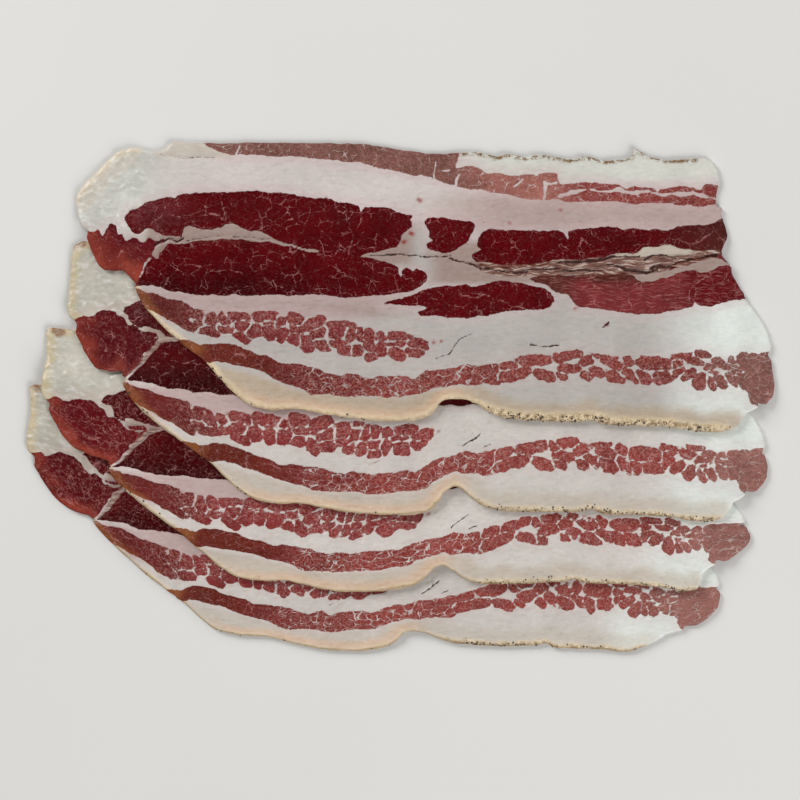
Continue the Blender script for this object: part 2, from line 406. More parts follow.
class Shade(Enum):
    """A named shade, kept as a 0 to 255 screen colour."""

    def rgba(self) -> tuple[float, float, float, float]:
        """The shade as the four linear numbers that a shader takes."""
        return srgb(*self.value)

    def linear(self) -> np.ndarray:
        """The shade as three linear numbers."""
        return np.array(self.rgba()[:3])


class Lean(Shade):
    """The muscles' shades of red."""

    MAROON = (82, 3, 10)
    DEEP = (60, 1, 5)
    WINE = (86, 12, 20)
    ROSE = (114, 40, 42)
    UMBER = (82, 36, 32)
    STREAKY = (112, 40, 40)
    BELLY = (118, 48, 44)
    LIVER = (100, 34, 32)
    AMBER = (140, 84, 44)
    RUSSET = (96, 34, 24)
    TAN = (114, 75, 67)
    CLAY = (152, 96, 86)
    DUSKY = (128, 86, 78)
    EMBER = (147, 62, 48)
    HAZE = (112, 52, 60)
    SALMON = (206, 148, 138)
    THREAD = (208, 150, 148)


class Fat(Shade):
    """The shades of the fat, the rind and the torn seam."""

    CORNER = (208, 207, 198)
    TRIMMED = (196, 186, 172)
    BACK = (204, 195, 190)
    PINK = (196, 170, 170)
    BAND = (176, 156, 150)
    BELLY = (178, 173, 167)
    BRIGHT = (222, 226, 220)
    WET = (228, 228, 224)
    SEAM = (158, 138, 130)
    BARK = (52, 22, 18)
    SCAB = (114, 72, 60)
    FLAKE = (190, 170, 158)
    RIND = (180, 162, 140)
    CREAM = (226, 206, 172)
    PEACH = (212, 178, 150)
    SCORCH = (120, 92, 58)
    WAXY = (192, 176, 142)
    CHIP = (122, 78, 44)
    STAIN = (140, 40, 44)
    CRACK = (58, 26, 20)


@dataclass(frozen=True)
class Mood:
    """How one slice differs from the others.

    Attributes:
        seed: Fixes its small variation.
        ember: How orange the lobe's dried rim is.
        rim: How wide that rim is, in millimetres.
        wine: How bright the lobe's middle is.
        dark: How bright the dark muscles are.
        haze: How misty the upper dark muscle's left end is.
        dusk: How bright the belly strip's dried right end is.
        warmth: How tan the fat by the rind is.
        belly: How bright the fat between the streaks is.
        corner: How bright the fat corner is.
        red: How bright the streaky lean is.
        crust: How wide the cream rind crust is.
        edge: How brown the rind's very edge is.
        marbled: How much pale fibre runs through the dark muscles.
        curled: How much pale fibre curls through the lobe.
        cleft: How wide the pale clefts round the lobe are.
        loose: Whether its bundles stray from those of the top slice, 0 or 1.
        drift: How far its pale seams stand from those of the top slice, in millimetres.
    """

    seed: int
    ember: float
    warmth: float
    belly: float
    corner: float
    red: float
    crust: float
    curled: float
    cleft: float
    drift: tuple[float, float]
    dark: float
    wine: float
    marbled: float
    rim: float = 6.5
    haze: float = 0.15
    dusk: float = 1.2
    edge: float = 0.5
    loose: float = 1.0


MOODS = {
    1: Mood(
        seed=101, ember=0.80, warmth=0.85, belly=1.00, corner=0.96, red=1.00, crust=0.84, curled=0.25,
        cleft=1.0, drift=(0.0, 0.0), dark=1.00, wine=1.1, marbled=0.0, rim=11.0, haze=0.4, dusk=0.84,
        edge=0.25, loose=0.0),
    2: Mood(
        seed=207, ember=0.75, warmth=0.45, belly=1.30, corner=0.78, red=1.20, crust=0.38, curled=0.35,
        cleft=1.1, drift=(3.1, 0.2), dark=0.72, wine=0.9, marbled=0.1),
    3: Mood(
        seed=311, ember=0.92, warmth=0.50, belly=1.36, corner=0.82, red=1.25, crust=0.36, curled=0.80,
        cleft=1.2, drift=(-2.9, -0.2), dark=0.78, wine=1.1, marbled=0.4),
    4: Mood(
        seed=419, ember=0.80, warmth=0.30, belly=1.28, corner=0.77, red=1.18, crust=0.40, curled=0.85,
        cleft=2.0, drift=(5.2, 0.2), dark=0.84, wine=0.9, marbled=0.7),
}


def ramp(value: np.ndarray, low: float, high: float) -> np.ndarray:
    """A smooth step from 0 at low to 1 at high; high may be the smaller one."""
    share = np.clip((value - low) / (high - low), 0.0, 1.0)
    return share * share * (3.0 - 2.0 * share)


def span(value: np.ndarray, marks: Marks) -> np.ndarray:
    """How far each value is inside a range with soft ends.

    Args:
        value: The value at each place.
        marks: Where the range begins and is full and then, if it has an end, where it eases and is over.

    Returns:
        A share between 0 and 1 for each place.
    """
    if not marks:
        return np.ones(value.shape)
    share = ramp(value, marks[0], marks[1])
    return share * ramp(value, marks[3], marks[2]) if len(marks) == 4 else share


@dataclass(frozen=True)
class Zone:
    """A soft-sided patch of the section, in millimetres.

    Attributes:
        x: Its range across, as span takes it; without one it covers the whole width.
        y: Its range upwards; without one it covers the whole height.
    """

    x: Marks = ()
    y: Marks = ()

    def share(self, x: np.ndarray, y: np.ndarray) -> np.ndarray:
        """How far each place is inside the patch."""
        return span(x, self.x) * span(y, self.y)


ZONES = {
    # patches of the lean
    "deep": Zone((0.0, -60.0), (50.0, 38.0)),
    "haze": Zone((-72.0, -90.0), (60.0, 64.0)),
    "right_dark_end": Zone((88.0, 116.0)),
    "flank_top": Zone((98.0, 86.0), (39.6, 42.6)),
    "flank_left": Zone((66.0, 56.0)),
    "flank_right": Zone((99.0, 106.0)),
    "lobe_foot": Zone((), (56.0, 46.0)),
    "streaks_left": Zone((-60.0, -78.0)),
    "strip_left": Zone((0.0, -30.0)),
    "strip_tip": Zone((-36.0, -56.0)),
    "strip_amber": Zone((-69.0, -75.5)),
    "strip_dusk": Zone((100.0, 126.0)),
    "crust_clay": Zone((16.0, 36.0)),
    "crust_red": Zone((50.0, 70.0)),
    "crust_grain": Zone((10.0, 40.0)),
    "dried_tip": Zone((-72.0, -84.0), (40.0, 36.0)),
    "dried_strip": Zone((-30.0, -46.0), (25.0, 20.0)),
    "dried_end": Zone((118.0, 124.0), (30.0, 24.0)),
    "strip_bundles": Zone((30.0, 38.0), (34.0, 28.0)),
    "between_tips": Zone((-82.0, -76.0, 114.0, 122.0)),
    "strip_end": Zone((116.0, 122.0)),
    "nugget": Zone((-66.0, -88.0)),
    "grown_tip": Zone((-76.0, -80.0)),
    "grown_end": Zone((121.0, 126.0)),
    "swollen_end": Zone((120.0, 126.0)),
    # patches of the fat and the rind
    "back": Zone((), (60.0, 68.0)),
    "corner": Zone((-78.0, -96.0), (56.0, 62.0)),
    "corner_foot": Zone((-96.0, -102.0), (56.0, 60.0, 64.0, 74.0)),
    "band": Zone((-10.0, 40.0), (58.0, 62.0, 70.0, 76.0)),
    "top_right": Zone((15.0, 30.0), (76.0, 79.0)),
    "wedge": Zone((20.0, -20.0), (26.0, 30.0, 36.0, 40.0)),
    "far_right": Zone((84.0, 118.0), (10.0, 16.0, 34.0, 40.0)),
    "right_foot": Zone((88.0, 108.0), (12.0, 6.0)),
    "blush": Zone((), (22.0, 34.0)),
    "left_seam": Zone((-94.0, -90.0, 0.0, 8.0), (46.0, 49.0, 61.0, 63.5)),
    "right_seam": Zone((6.0, 16.0), (39.5, 42.0, 54.5, 56.5)),
    "torn_left": Zone((-86.0, -82.0, -60.0, -40.0), (54.2, 55.4, 57.0, 58.6)),
    "torn_right": Zone((22.0, 32.0, 112.0, 117.0)),
    "broad_rind": Zone((20.0, -30.0)),
    "peach": Zone((-64.0, -50.0, 16.0, 30.0)),
    "crusty": Zone((26.0, 38.0, 112.0, 120.0)),
    "burnt": Zone((16.0, 24.0)),
    "lip": Zone((-91.0, -87.0, -66.0, -60.0), (85.6, 86.8)),
    "trimmed": Zone((-92.0, -99.0)),
    "waxy": Zone((-80.0, -92.0), (56.0, 62.0)),
    "waxy_side": Zone((-104.0, -110.0)),
    "crumpled": Zone((-84.0, -94.0), (57.0, 61.0)),
    "folded": Zone((-88.0, -98.0), (60.0, 66.0)),
}


def lattice_noise(x: np.ndarray, y: np.ndarray, size: float, seed: int) -> np.ndarray:
    """Smooth random hills between -1 and 1.

    Args:
        x: Across, in millimetres.
        y: Up, in millimetres.
        size: The distance between hills.
        seed: Fixes the draw.

    Returns:
        One value for each point.
    """
    table = np.random.default_rng(seed).uniform(-1.0, 1.0, (LATTICE + 1, LATTICE + 1))
    u, v = x / size + LATTICE_MIDDLE, y / size + LATTICE_MIDDLE
    column, row = np.floor(u).astype(int) % LATTICE, np.floor(v).astype(int) % LATTICE
    fu, fv = u - np.floor(u), v - np.floor(v)
    fu, fv = fu * fu * (3.0 - 2.0 * fu), fv * fv * (3.0 - 2.0 * fv)
    low = table[column, row] * (1.0 - fu) + table[column + 1, row] * fu
    high = table[column, row + 1] * (1.0 - fu) + table[column + 1, row + 1] * fu
    return low * (1.0 - fv) + high * fv


def smooth_loop(points: Points) -> np.ndarray:
    """A closed curve that runs through every point given."""
    knots = np.asarray(points, float)
    before, after = np.roll(knots, 1, axis=0), np.roll(knots, -1, axis=0)
    beyond = np.roll(knots, -2, axis=0)
    runs = []
    for share in np.arange(CURVE_STEPS) / CURVE_STEPS:
        runs.append(0.5 * (
            2.0 * knots + (after - before) * share
            + (2.0 * before - 5.0 * knots + 4.0 * after - beyond) * share ** 2
            + (3.0 * knots - before - 3.0 * after + beyond) * share ** 3))
    return np.stack(runs, axis=1).reshape(-1, 2)


def line_distance(points: np.ndarray, x: np.ndarray, y: np.ndarray, closed: bool) -> np.ndarray:
    """How far each place lies from a line of points."""
    nearest = np.full(x.shape, np.inf)
    ends = np.roll(points, -1, axis=0) if closed else points[1:]
    for (ax, ay), (bx, by) in zip(points, ends):
        length = max((bx - ax) ** 2 + (by - ay) ** 2, 1e-12)
        along = np.clip(((x - ax) * (bx - ax) + (y - ay) * (by - ay)) / length, 0.0, 1.0)
        nearest = np.minimum(nearest, np.hypot(x - ax - along * (bx - ax), y - ay - along * (by - ay)))
    return nearest


def depth_inside(loop: np.ndarray, x: np.ndarray, y: np.ndarray, reach: float = 1e9) -> np.ndarray:
    """How deep each place lies inside a loop, and below nothing outside it.

    Args:
        loop: The loop's points, in order.
        x: Across, in millimetres.
        y: Up, in millimetres.
        reach: Places further than this from the loop's box are just given as far outside.

    Returns:
        The depth of each place, negative outside.
    """
    flat_x, flat_y = x.ravel(), y.ravel()
    low, high = loop.min(0) - reach, loop.max(0) + reach
    near = (flat_x > low[0]) & (flat_x < high[0]) & (flat_y > low[1]) & (flat_y < high[1])
    px, py = flat_x[near], flat_y[near]
    inside = np.zeros(px.shape, bool)
    for (ax, ay), (bx, by) in zip(loop, np.roll(loop, -1, axis=0)):
        if ay != by:
            inside ^= ((ay > py) != (by > py)) & (px < ax + (py - ay) / (by - ay) * (bx - ax))
    far = line_distance(loop, px, py, True)
    depth = np.full(flat_x.shape, -min(reach, 50.0))
    depth[near] = np.where(inside, far, -far)
    return depth.reshape(x.shape)


class Shift:
    """A smooth shift of the section from the top slice to another."""

    def __init__(self, number: int) -> None:
        """Work out the weights for one slice, 1 being the top one."""
        self.source = np.array([row[0] for row in LANDMARKS], float)
        target = np.array([row[number - 1] for row in LANDMARKS], float)
        count = len(self.source)
        system = np.zeros((count + 3, count + 3))
        system[:count, :count] = self.kernel(self.source)
        system[:count, count] = 1.0
        system[:count, count + 1:] = self.source
        system[count, :count] = 1.0
        system[count + 1:, :count] = self.source.T
        wanted = np.zeros((count + 3, 2))
        wanted[:count] = target
        self.weights = np.linalg.solve(system, wanted)

    def kernel(self, spots: np.ndarray) -> np.ndarray:
        """The thin-plate weight between places and the landmarks."""
        square = ((spots[:, None] - self.source[None]) ** 2).sum(2)
        return np.where(square > 0.0, square * np.log(np.maximum(square, 1e-12)), 0.0)

    def __call__(self, points: np.ndarray) -> np.ndarray:
        """Carry places on the top slice to this slice."""
        spots = np.asarray(points, float)
        count = len(self.source)
        bent = self.kernel(spots) @ self.weights[:count]
        return bent + self.weights[count] + spots @ self.weights[count + 1:]


def section_outline(number: int) -> np.ndarray:
    """The edge of a slice on the section; only the top slice has its corner trimmed off."""
    corner = TRIMMED_CORNER if number == 1 else SQUARE_CORNER
    loop = smooth_loop(RIND_EDGE + RIGHT_EDGE + TOP_EDGE + corner + LEFT_EDGE)
    crags = [lattice_noise(*loop.T, CRAG_SIZE, 70 + 2 * number + axis) for axis in range(2)]
    return loop + CRAG_HEIGHT * np.column_stack(crags)


@dataclass
class SheetGrid:
    """A fine sheet of square cells, cut to an outline, with a coarse underside and closed sides.

    Attributes:
        outline: The edge, as a loop of points in millimetres.
        step: The side of a cell.
        block: How many cells wide a cell of the underside is.
    """

    outline: np.ndarray
    step: float = 0.54
    block: int = 6
    spots: np.ndarray = field(init=False)
    level: np.ndarray = field(init=False)
    faces: list[tuple[int, ...]] = field(init=False)

    def __post_init__(self) -> None:
        """Lay the cells, pull their rim onto the outline, and close the sheet."""
        low, high = self.outline.min(0) - 2.0 * self.step, self.outline.max(0) + 2.0 * self.step
        columns = (math.ceil((high[0] - low[0]) / self.step / self.block) + 1) * self.block
        rows = (math.ceil((high[1] - low[1]) / self.step / self.block) + 1) * self.block
        x = low[0] + np.arange(columns + 1) * self.step
        y = low[1] + np.arange(rows + 1) * self.step
        mid_x, mid_y = np.meshgrid((x[1:] + x[:-1]) / 2.0, (y[1:] + y[:-1]) / 2.0, indexing="ij")
        kept = self.without_pinches(depth_inside(self.outline, mid_x, mid_y) > 0.0)
        grid_x, grid_y = np.meshgrid(x, y, indexing="ij")
        self.lay(kept, grid_x, grid_y)

    @staticmethod
    def without_pinches(kept: np.ndarray) -> np.ndarray:
        """Fill a cell wherever two kept cells meet only at a corner."""
        while True:
            a, b, c, d = kept[:-1, :-1], kept[1:, :-1], kept[:-1, 1:], kept[1:, 1:]
            rising, falling = a & d & ~b & ~c, b & c & ~a & ~d
            if not rising.any() and not falling.any():
                return kept
            kept[1:, :-1] |= rising
            kept[:-1, :-1] |= falling

    def lay(self, kept: np.ndarray, grid_x: np.ndarray, grid_y: np.ndarray) -> None:
        """Number the corners and list the faces of the top, the underside and the sides."""
        columns, rows = kept.shape
        touch = np.zeros((columns + 1, rows + 1), int)
        for dx in (0, 1):
            for dy in (0, 1):
                touch[dx:columns + dx, dy:rows + dy] += kept
        used = touch > 0
        number = np.full(used.shape, -1)
        number[used] = np.arange(used.sum())
        spots = np.stack([grid_x[used], grid_y[used]], axis=1)
        rim = touch[used] < 4
        spots[rim] = self.pulled_to_edge(spots[rim])
        i, j = np.nonzero(kept)
        top = np.stack([number[i, j], number[i + 1, j], number[i + 1, j + 1], number[i, j + 1]], axis=1)
        below = self.underside(kept, number)
        low_used = np.unique(np.concatenate([np.asarray(face) for face in below]))
        low_number = np.full(len(spots), -1)
        low_number[low_used] = np.arange(len(low_used)) + len(spots)
        mid_number = np.full(len(spots), -1)
        mid_number[rim] = np.arange(rim.sum()) + len(spots) + len(low_used)
        faces: list[tuple[int, ...]] = [tuple(face) for face in top.tolist()]
        faces += [tuple(int(low_number[corner]) for corner in reversed(face)) for face in below]
        for first, second in self.rim_edges(kept, number):
            faces.append((int(mid_number[first]), int(mid_number[second]), second, first))
            faces.append((
                int(low_number[first]), int(low_number[second]), int(mid_number[second]),
                int(mid_number[first])))
        self.faces = faces
        self.spots = np.vstack([spots, spots[low_used], spots[rim]])
        self.level = np.concatenate([np.ones(len(spots)), np.zeros(len(low_used)), np.full(rim.sum(), 0.5)])

    def pulled_to_edge(self, spots: np.ndarray) -> np.ndarray:
        """The nearest place on the outline to each spot."""
        start, end = self.outline, np.roll(self.outline, -1, axis=0)
        run = end - start
        length = np.maximum((run ** 2).sum(1), 1e-12)
        offset = spots[:, None] - start[None]
        along = np.clip((offset * run[None]).sum(2) / length, 0.0, 1.0)
        place = start[None] + along[..., None] * run[None]
        best = ((place - spots[:, None]) ** 2).sum(2).argmin(1)
        return place[np.arange(len(spots)), best]

    def underside(self, kept: np.ndarray, number: np.ndarray) -> list[list[int]]:
        """Large cells where the sheet is whole, with the rim's corners kept beside it."""
        size = self.block
        columns, rows = kept.shape[0] // size, kept.shape[1] // size
        whole = kept.reshape(columns, size, rows, size).all(axis=(1, 3))
        framed = np.zeros((columns + 2, rows + 2), bool)
        framed[1:-1, 1:-1] = whole
        faces: list[list[int]] = []
        for p, q in zip(*np.nonzero(whole)):
            i, j = p * size, q * size
            sides = [
                (framed[p + 1, q], [(i + k, j) for k in range(size)]),
                (framed[p + 2, q + 1], [(i + size, j + k) for k in range(size)]),
                (framed[p + 1, q + 2], [(i + size - k, j + size) for k in range(size)]),
                (framed[p, q + 1], [(i, j + size - k) for k in range(size)])]
            ring = []
            for plain, run in sides:
                ring += run[:1] if plain else run
            faces.append([int(number[a, b]) for a, b in ring])
        loose = kept & ~np.repeat(np.repeat(whole, size, axis=0), size, axis=1)
        for i, j in zip(*np.nonzero(loose)):
            corners = [(i, j), (i + 1, j), (i + 1, j + 1), (i, j + 1)]
            faces.append([int(number[a, b]) for a, b in corners])
        return faces

    @staticmethod
    def rim_edges(kept: np.ndarray, number: np.ndarray) -> list[tuple[int, int]]:
        """Every edge on the rim, with the sheet on its left."""
        framed = np.pad(kept, 1)
        edges: list[tuple[int, int]] = []
        sides = [
            (framed[1:-1, :-2], (0, 0), (1, 0)), (framed[2:, 1:-1], (1, 0), (1, 1)),
            (framed[1:-1, 2:], (1, 1), (0, 1)), (framed[:-2, 1:-1], (0, 1), (0, 0))]
        for beside, start, end in sides:
            i, j = np.nonzero(kept & ~beside)
            first = number[i + start[0], j + start[1]]
            second = number[i + end[0], j + end[1]]
            edges += list(zip(first.tolist(), second.tolist()))
        return edges


@dataclass
class Section:
    """What the meat is at each place of the section: fat or lean, its shade and its relief.

    Attributes:
        spots: The places, in millimetres.
        outline: The slice's edge.
        number: Which slice it is, 1 being the top one.
        fields: What has been measured at the places so far, by name.
    """

    spots: np.ndarray
    outline: np.ndarray
    number: int
    fields: dict[str, np.ndarray] = field(default_factory=dict)

    def __post_init__(self) -> None:
        """Measure every field once."""
        self.mood = MOODS[self.number]
        self.top = self.number == 1
        x, y = self.spots.T
        bent_x = x + 0.5 * self.noise(x, y, 5.0, 0) + 0.25 * self.noise(x, y, 1.9, 1)
        bent_y = y + 0.45 * self.noise(x, y, 4.0, 2) + 0.2 * self.noise(x, y, 1.7, 3)
        self.measure_lean(bent_x, bent_y)
        self.measure_edges(x, y)
        self.measure_lines(bent_x, bent_y)
        lobe_rim = self.lobe_rim(x, y)
        self.shade_lean(x, y, lobe_rim)
        self.measure_bundles()
        self.measure_fibres(lobe_rim)
        self.shade_fat(x, y)

    def noise(self, x: np.ndarray, y: np.ndarray, size: float, draw: int) -> np.ndarray:
        """The slice's own smooth hills between -1 and 1; draw tells one use from another."""
        return lattice_noise(x, y, size, self.mood.seed + draw)

    def zone(self, name: str, aside: np.ndarray | float = 0.0, above: np.ndarray | float = 0.0) -> np.ndarray:
        """How far each place, or one a little aside or above, is inside a named patch."""
        return ZONES[name].share(self.spots[:, 0] + aside, self.spots[:, 1] + above)

    @staticmethod
    def mix(first: np.ndarray, second: np.ndarray, share: np.ndarray) -> np.ndarray:
        """Blend two shades, either of which may be one colour or one for each place."""
        return np.asarray(first) * (1.0 - share[:, None]) + np.asarray(second) * share[:, None]

    def laid(self, tone: np.ndarray, layers: Layers) -> np.ndarray:
        """Lay shades over a tone one after another, each by its share."""
        for shade, share in layers:
            tone = self.mix(tone, shade, share)
        return tone

    def measure_lean(self, x: np.ndarray, y: np.ndarray) -> None:
        """Find how deep each place lies in each muscle."""
        loops = dict(MUSCLES) if self.top else {**MUSCLES, "lobe": LOWER_LOBE}
        depths = {name: depth_inside(smooth_loop(loop), x, y, LOOP_REACH) for name, loop in loops.items()}
        streaks = np.minimum(depths["streaks"], BUNDLES_LEFT - x)
        strip = np.minimum(depths["strip"], BUNDLES_RIGHT - x)
        depths["streaks"] = self.bundled(STREAK_BUNDLES, streaks, 0.62, x, y)
        depths["strip"] = self.bundled(STRIP_BUNDLES, strip, 0.24, x, y)
        self.fields.update({"in_" + name: depth for name, depth in depths.items()})
        self.fields["lean"] = np.stack(list(depths.values())).max(0)

    def bundled(self, bundles: list[Bundle], body: np.ndarray, swell: float, x: np.ndarray,
                y: np.ndarray) -> np.ndarray:
        """How deep each place lies in a cluster of meat bundles that keep thin gaps between them.

        Args:
            bundles: The bundles, each a rounded lozenge.
            body: The depth in the plain part of the muscle.
            swell: How far the bundles swell, in millimetres.
            x: Across, in millimetres.
            y: Up, in millimetres.

        Returns:
            The depth in the nearest bundle, negative outside.
        """
        draw = np.random.default_rng(self.mood.seed)
        loose = self.mood.loose
        best, second = body, np.full(x.shape, -9.0)
        for place_x, place_y, long, wide, tilt in bundles:
            shift_x, shift_y, turn, stretch = draw.uniform(-1.0, 1.0, 4) * loose
            long, wide = long * 1.05, wide * (1.06 + 0.05 * loose)
            across, up = x - place_x - 0.7 * shift_x, y - place_y - 0.25 * shift_y
            angle = math.radians(tilt + 12.0 * turn)
            u = (across * math.cos(angle) + up * math.sin(angle)) / long
            v = (up * math.cos(angle) - across * math.sin(angle)) / (wide * (1.0 + 0.10 * stretch))
            round_off = np.maximum((np.abs(u) ** 2.5 + np.abs(v) ** 2.5) ** 0.4, 1e-6)
            slope = np.maximum(np.hypot(u / long, v / wide) / round_off, 1.0 / long)
            depth = (1.0 - round_off) / slope
            second = np.maximum(second, np.minimum(best, depth))
            best = np.maximum(best, depth)
        grown = np.maximum(ZONES["grown_tip"].share(x, y), ZONES["grown_end"].share(x, y))
        gap = 0.10 + 0.10 * self.noise(x, y, 2.4, 60) - 3.0 * grown
        swell = swell + 0.10 * loose + 1.1 * ZONES["swollen_end"].share(x, y)
        return np.minimum(best + swell, 0.5 * (best - second) - gap)

    def measure_edges(self, x: np.ndarray, y: np.ndarray) -> None:
        """Find how far each place lies from the whole rim, the rind and the fat corner's top."""
        corner = TRIMMED_CORNER if self.top else SQUARE_CORNER
        self.fields["rim"] = line_distance(self.outline, x, y, True)
        for name, run in (("rind", LEFT_EDGE[-1:] + RIND_EDGE), ("corner", TOP_EDGE[-1:] + corner)):
            self.fields[name] = line_distance(np.array(run, float), x, y, False)

    def measure_lines(self, x: np.ndarray, y: np.ndarray) -> None:
        """Find how near each place lies to a crack or a pale seam."""
        crack, sink = np.zeros(x.shape), np.zeros(x.shape)
        for half, depth, dark, run in CRACKS + (TOP_CRACKS if self.top else LOWER_CRACKS):
            away = line_distance(np.array(run, float), x, y, False)
            width = half * (0.75 + 0.75 * self.noise(x, y, 2.6, 9))
            crack = np.maximum(crack, dark * ramp(away, width + 0.45, 0.35 * width))
            sink = np.maximum(sink, depth * ramp(away, width + 0.7, 0.0))
        bent_x = x + self.mood.drift[0] + 0.8 * self.noise(x, y, 3.0, 12)
        bent_y = y + self.mood.drift[1] + 0.7 * self.noise(x, y, 3.4, 13)
        swell = 0.72 + 0.75 * self.noise(x, y, 2.8, 14)
        loose = ramp(np.maximum(self.fields["in_strip"], self.fields["in_top_strip"]), -1.0, 0.0)
        thread = np.full(x.shape, FAR_AWAY)
        for half, run in SEAMS:
            width = half * (0.40 + 0.80 * loose) * swell
            thread = np.minimum(thread, line_distance(np.array(run, float), bent_x, bent_y, False) - width)
        seam = np.minimum(FAR_AWAY, thread + FAR_AWAY * (1.0 - loose))
        bent_x = x + 0.9 * self.noise(x, y, 2.6, 15)
        bent_y = y + 0.9 * self.noise(x, y, 2.6, 16)
        for half, run in TOP_SEAMS if self.top else LOWER_SEAMS:
            width = half * self.mood.cleft * (0.35 + 0.45 * swell)
            seam = np.minimum(seam, line_distance(np.array(run, float), bent_x, bent_y, False) - width)
        thread = thread + FAR_AWAY * loose
        self.fields.update({"crack": crack, "sink": sink, "seam": seam, "thread": thread})

    def torn_share(self, x: np.ndarray, y: np.ndarray) -> np.ndarray:
        """How torn the seam between the slice's two halves is at each place."""
        band = np.array(TORN_BAND, float)
        middle, half = np.interp(x, band[:, 0], band[:, 1]), np.interp(x, band[:, 0], band[:, 2])
        right = ramp(np.abs(y - middle) - half, 0.9, -0.5) * self.zone("torn_right")
        return np.clip(right + 0.25 * self.zone("torn_left"), 0.0, 1.0)

    def lobe_rim(self, x: np.ndarray, y: np.ndarray) -> np.ndarray:
        """How far each place belongs to the dried rim of the lobe."""
        rim = ramp(self.fields["rim"] + 2.4 * self.noise(x, y, 3.6, 23), self.mood.rim, 0.0)
        patchy = np.clip(0.9 + 0.4 * self.noise(x, y, 6.5, 26), 0.5, 1.0)
        return rim * patchy * (0.72 + 0.55 * self.zone("lobe_foot"))

    def flank_shade(self, x: np.ndarray, y: np.ndarray) -> np.ndarray:
        """The rosy muscle by the torn seam, brown at its left and top."""
        brown = self.zone("flank_top", above=1.2 * self.noise(x * 0.5, y, 3.0, 24))
        return self.laid(Lean.ROSE.linear(), [
            (Lean.UMBER.linear(), np.maximum(brown, self.zone("flank_left"))),
            (Lean.WINE.linear() * 1.25, self.zone("flank_right"))])

    def streaky_shades(self, x: np.ndarray, y: np.ndarray) -> dict[str, np.ndarray]:
        """The shades of the streaks, the belly strip and the dry strip along the top edge."""
        red = self.mood.red
        patchy = 1.4 * self.noise(x, y, 3.5, 25)
        streaks = self.laid(Lean.STREAKY.linear() * red, [
            (Lean.LIVER.linear() * 0.75 * red, self.zone("streaks_left")),
            (Lean.AMBER.linear(), 0.6 * ramp(self.fields["rind"] + patchy, 4.6, 1.2))])
        strip = self.laid(Lean.BELLY.linear() * red, [
            (Lean.LIVER.linear() * red, self.zone("strip_left")),
            (Lean.RUSSET.linear(), self.zone("strip_tip")),
            (Lean.AMBER.linear(), 0.8 * self.zone("strip_amber", aside=patchy)),
            (Lean.DUSKY.linear() * self.mood.dusk, self.zone("strip_dusk", aside=patchy))])
        crust = self.laid(Lean.TAN.linear(), [
            (Lean.CLAY.linear(), self.zone("crust_clay")),
            (Lean.BELLY.linear() * 1.1, self.zone("crust_red"))])
        return {"streaks": streaks, "strip": strip, "top_strip": crust}

    def shade_lean(self, x: np.ndarray, y: np.ndarray, lobe_rim: np.ndarray) -> None:
        """Mix each place's shade of red from the muscles round it."""
        mood = self.mood
        dark = self.mix(Lean.MAROON.linear(), Lean.DEEP.linear(), self.zone("deep")) * mood.dark
        haze = self.zone("haze") * (0.5 + 0.5 * self.noise(x, y, 3.0, 22))
        flank = self.flank_shade(x, y)
        shades = {
            "lobe": self.mix(Lean.WINE.linear() * mood.wine, Lean.EMBER.linear(), mood.ember * lobe_rim),
            "upper_dark": self.mix(dark * 0.95, Lean.HAZE.linear(), mood.haze * haze),
            "lower_dark": dark, "middle": dark, "spindle": dark,
            "right_dark": self.mix(
                Lean.MAROON.linear(), Lean.UMBER.linear() * 0.75, 0.85 * self.zone("right_dark_end")),
            "flank": flank, "sliver": flank, **self.streaky_shades(x, y)}
        total, weight = np.zeros((len(x), 3)), np.zeros(len(x))
        for name, shade in shades.items():
            share = np.exp(np.clip(self.fields["in_" + name] - self.fields["lean"], -30.0, 0.0) * 3.0)
            total += shade * share[:, None]
            weight += share
        mottle = 1.0 + 0.16 * self.noise(x, y, 7.0, 20) + 0.1 * self.noise(x, y, 2.2, 21)
        self.fields["lean_tone"] = total / weight[:, None] * mottle[:, None]

    def measure_bundles(self) -> None:
        """Find how far the lean is split into bundles, and how much of that the finish adds."""
        fields = self.fields
        loose = np.maximum(fields["in_streaks"], fields["in_strip"])
        crusted = ramp(fields["in_top_strip"], -0.4, 0.3) * (0.5 + 0.2 * self.zone("crust_grain"))
        dried = np.maximum(self.zone("dried_tip"), self.zone("dried_strip"))
        dried = np.maximum(dried, 0.5 * self.zone("dried_end"))
        fields["bundles"] = np.maximum(ramp(loose, -0.8, 0.2), crusted) * (1.0 - 0.85 * dried)
        fields["grain"] = np.clip(0.04 + fields["bundles"], 0.0, 1.0)
        placed = np.maximum(ramp(fields["in_streaks"], -1.5, -0.2), self.zone("strip_bundles"))
        placed = placed * self.zone("between_tips")
        fields["cells"] = fields["bundles"] * (1.0 - 0.6 * placed) * (1.0 - 0.15 * self.zone("strip_end"))

    def measure_fibres(self, lobe_rim: np.ndarray) -> None:
        """Find where pale fibres run or curl through the lean."""
        fields, mood = self.fields, self.mood
        fields["fibre"] = ramp(np.maximum(fields["in_flank"], fields["in_sliver"]), 0.0, 0.8)
        lobed = ramp(fields["in_lobe"], 0.0, 1.5) * (1.0 - 0.55 * lobe_rim)
        nugget = ramp(fields["in_upper_dark"], 0.0, 1.0) * self.zone("nugget")
        marbled = ramp(np.maximum(fields["in_lower_dark"], fields["in_middle"]), 0.0, 1.2) * mood.marbled
        fields["curl"] = np.maximum(mood.curled * np.maximum(lobed, nugget), 0.8 * marbled)

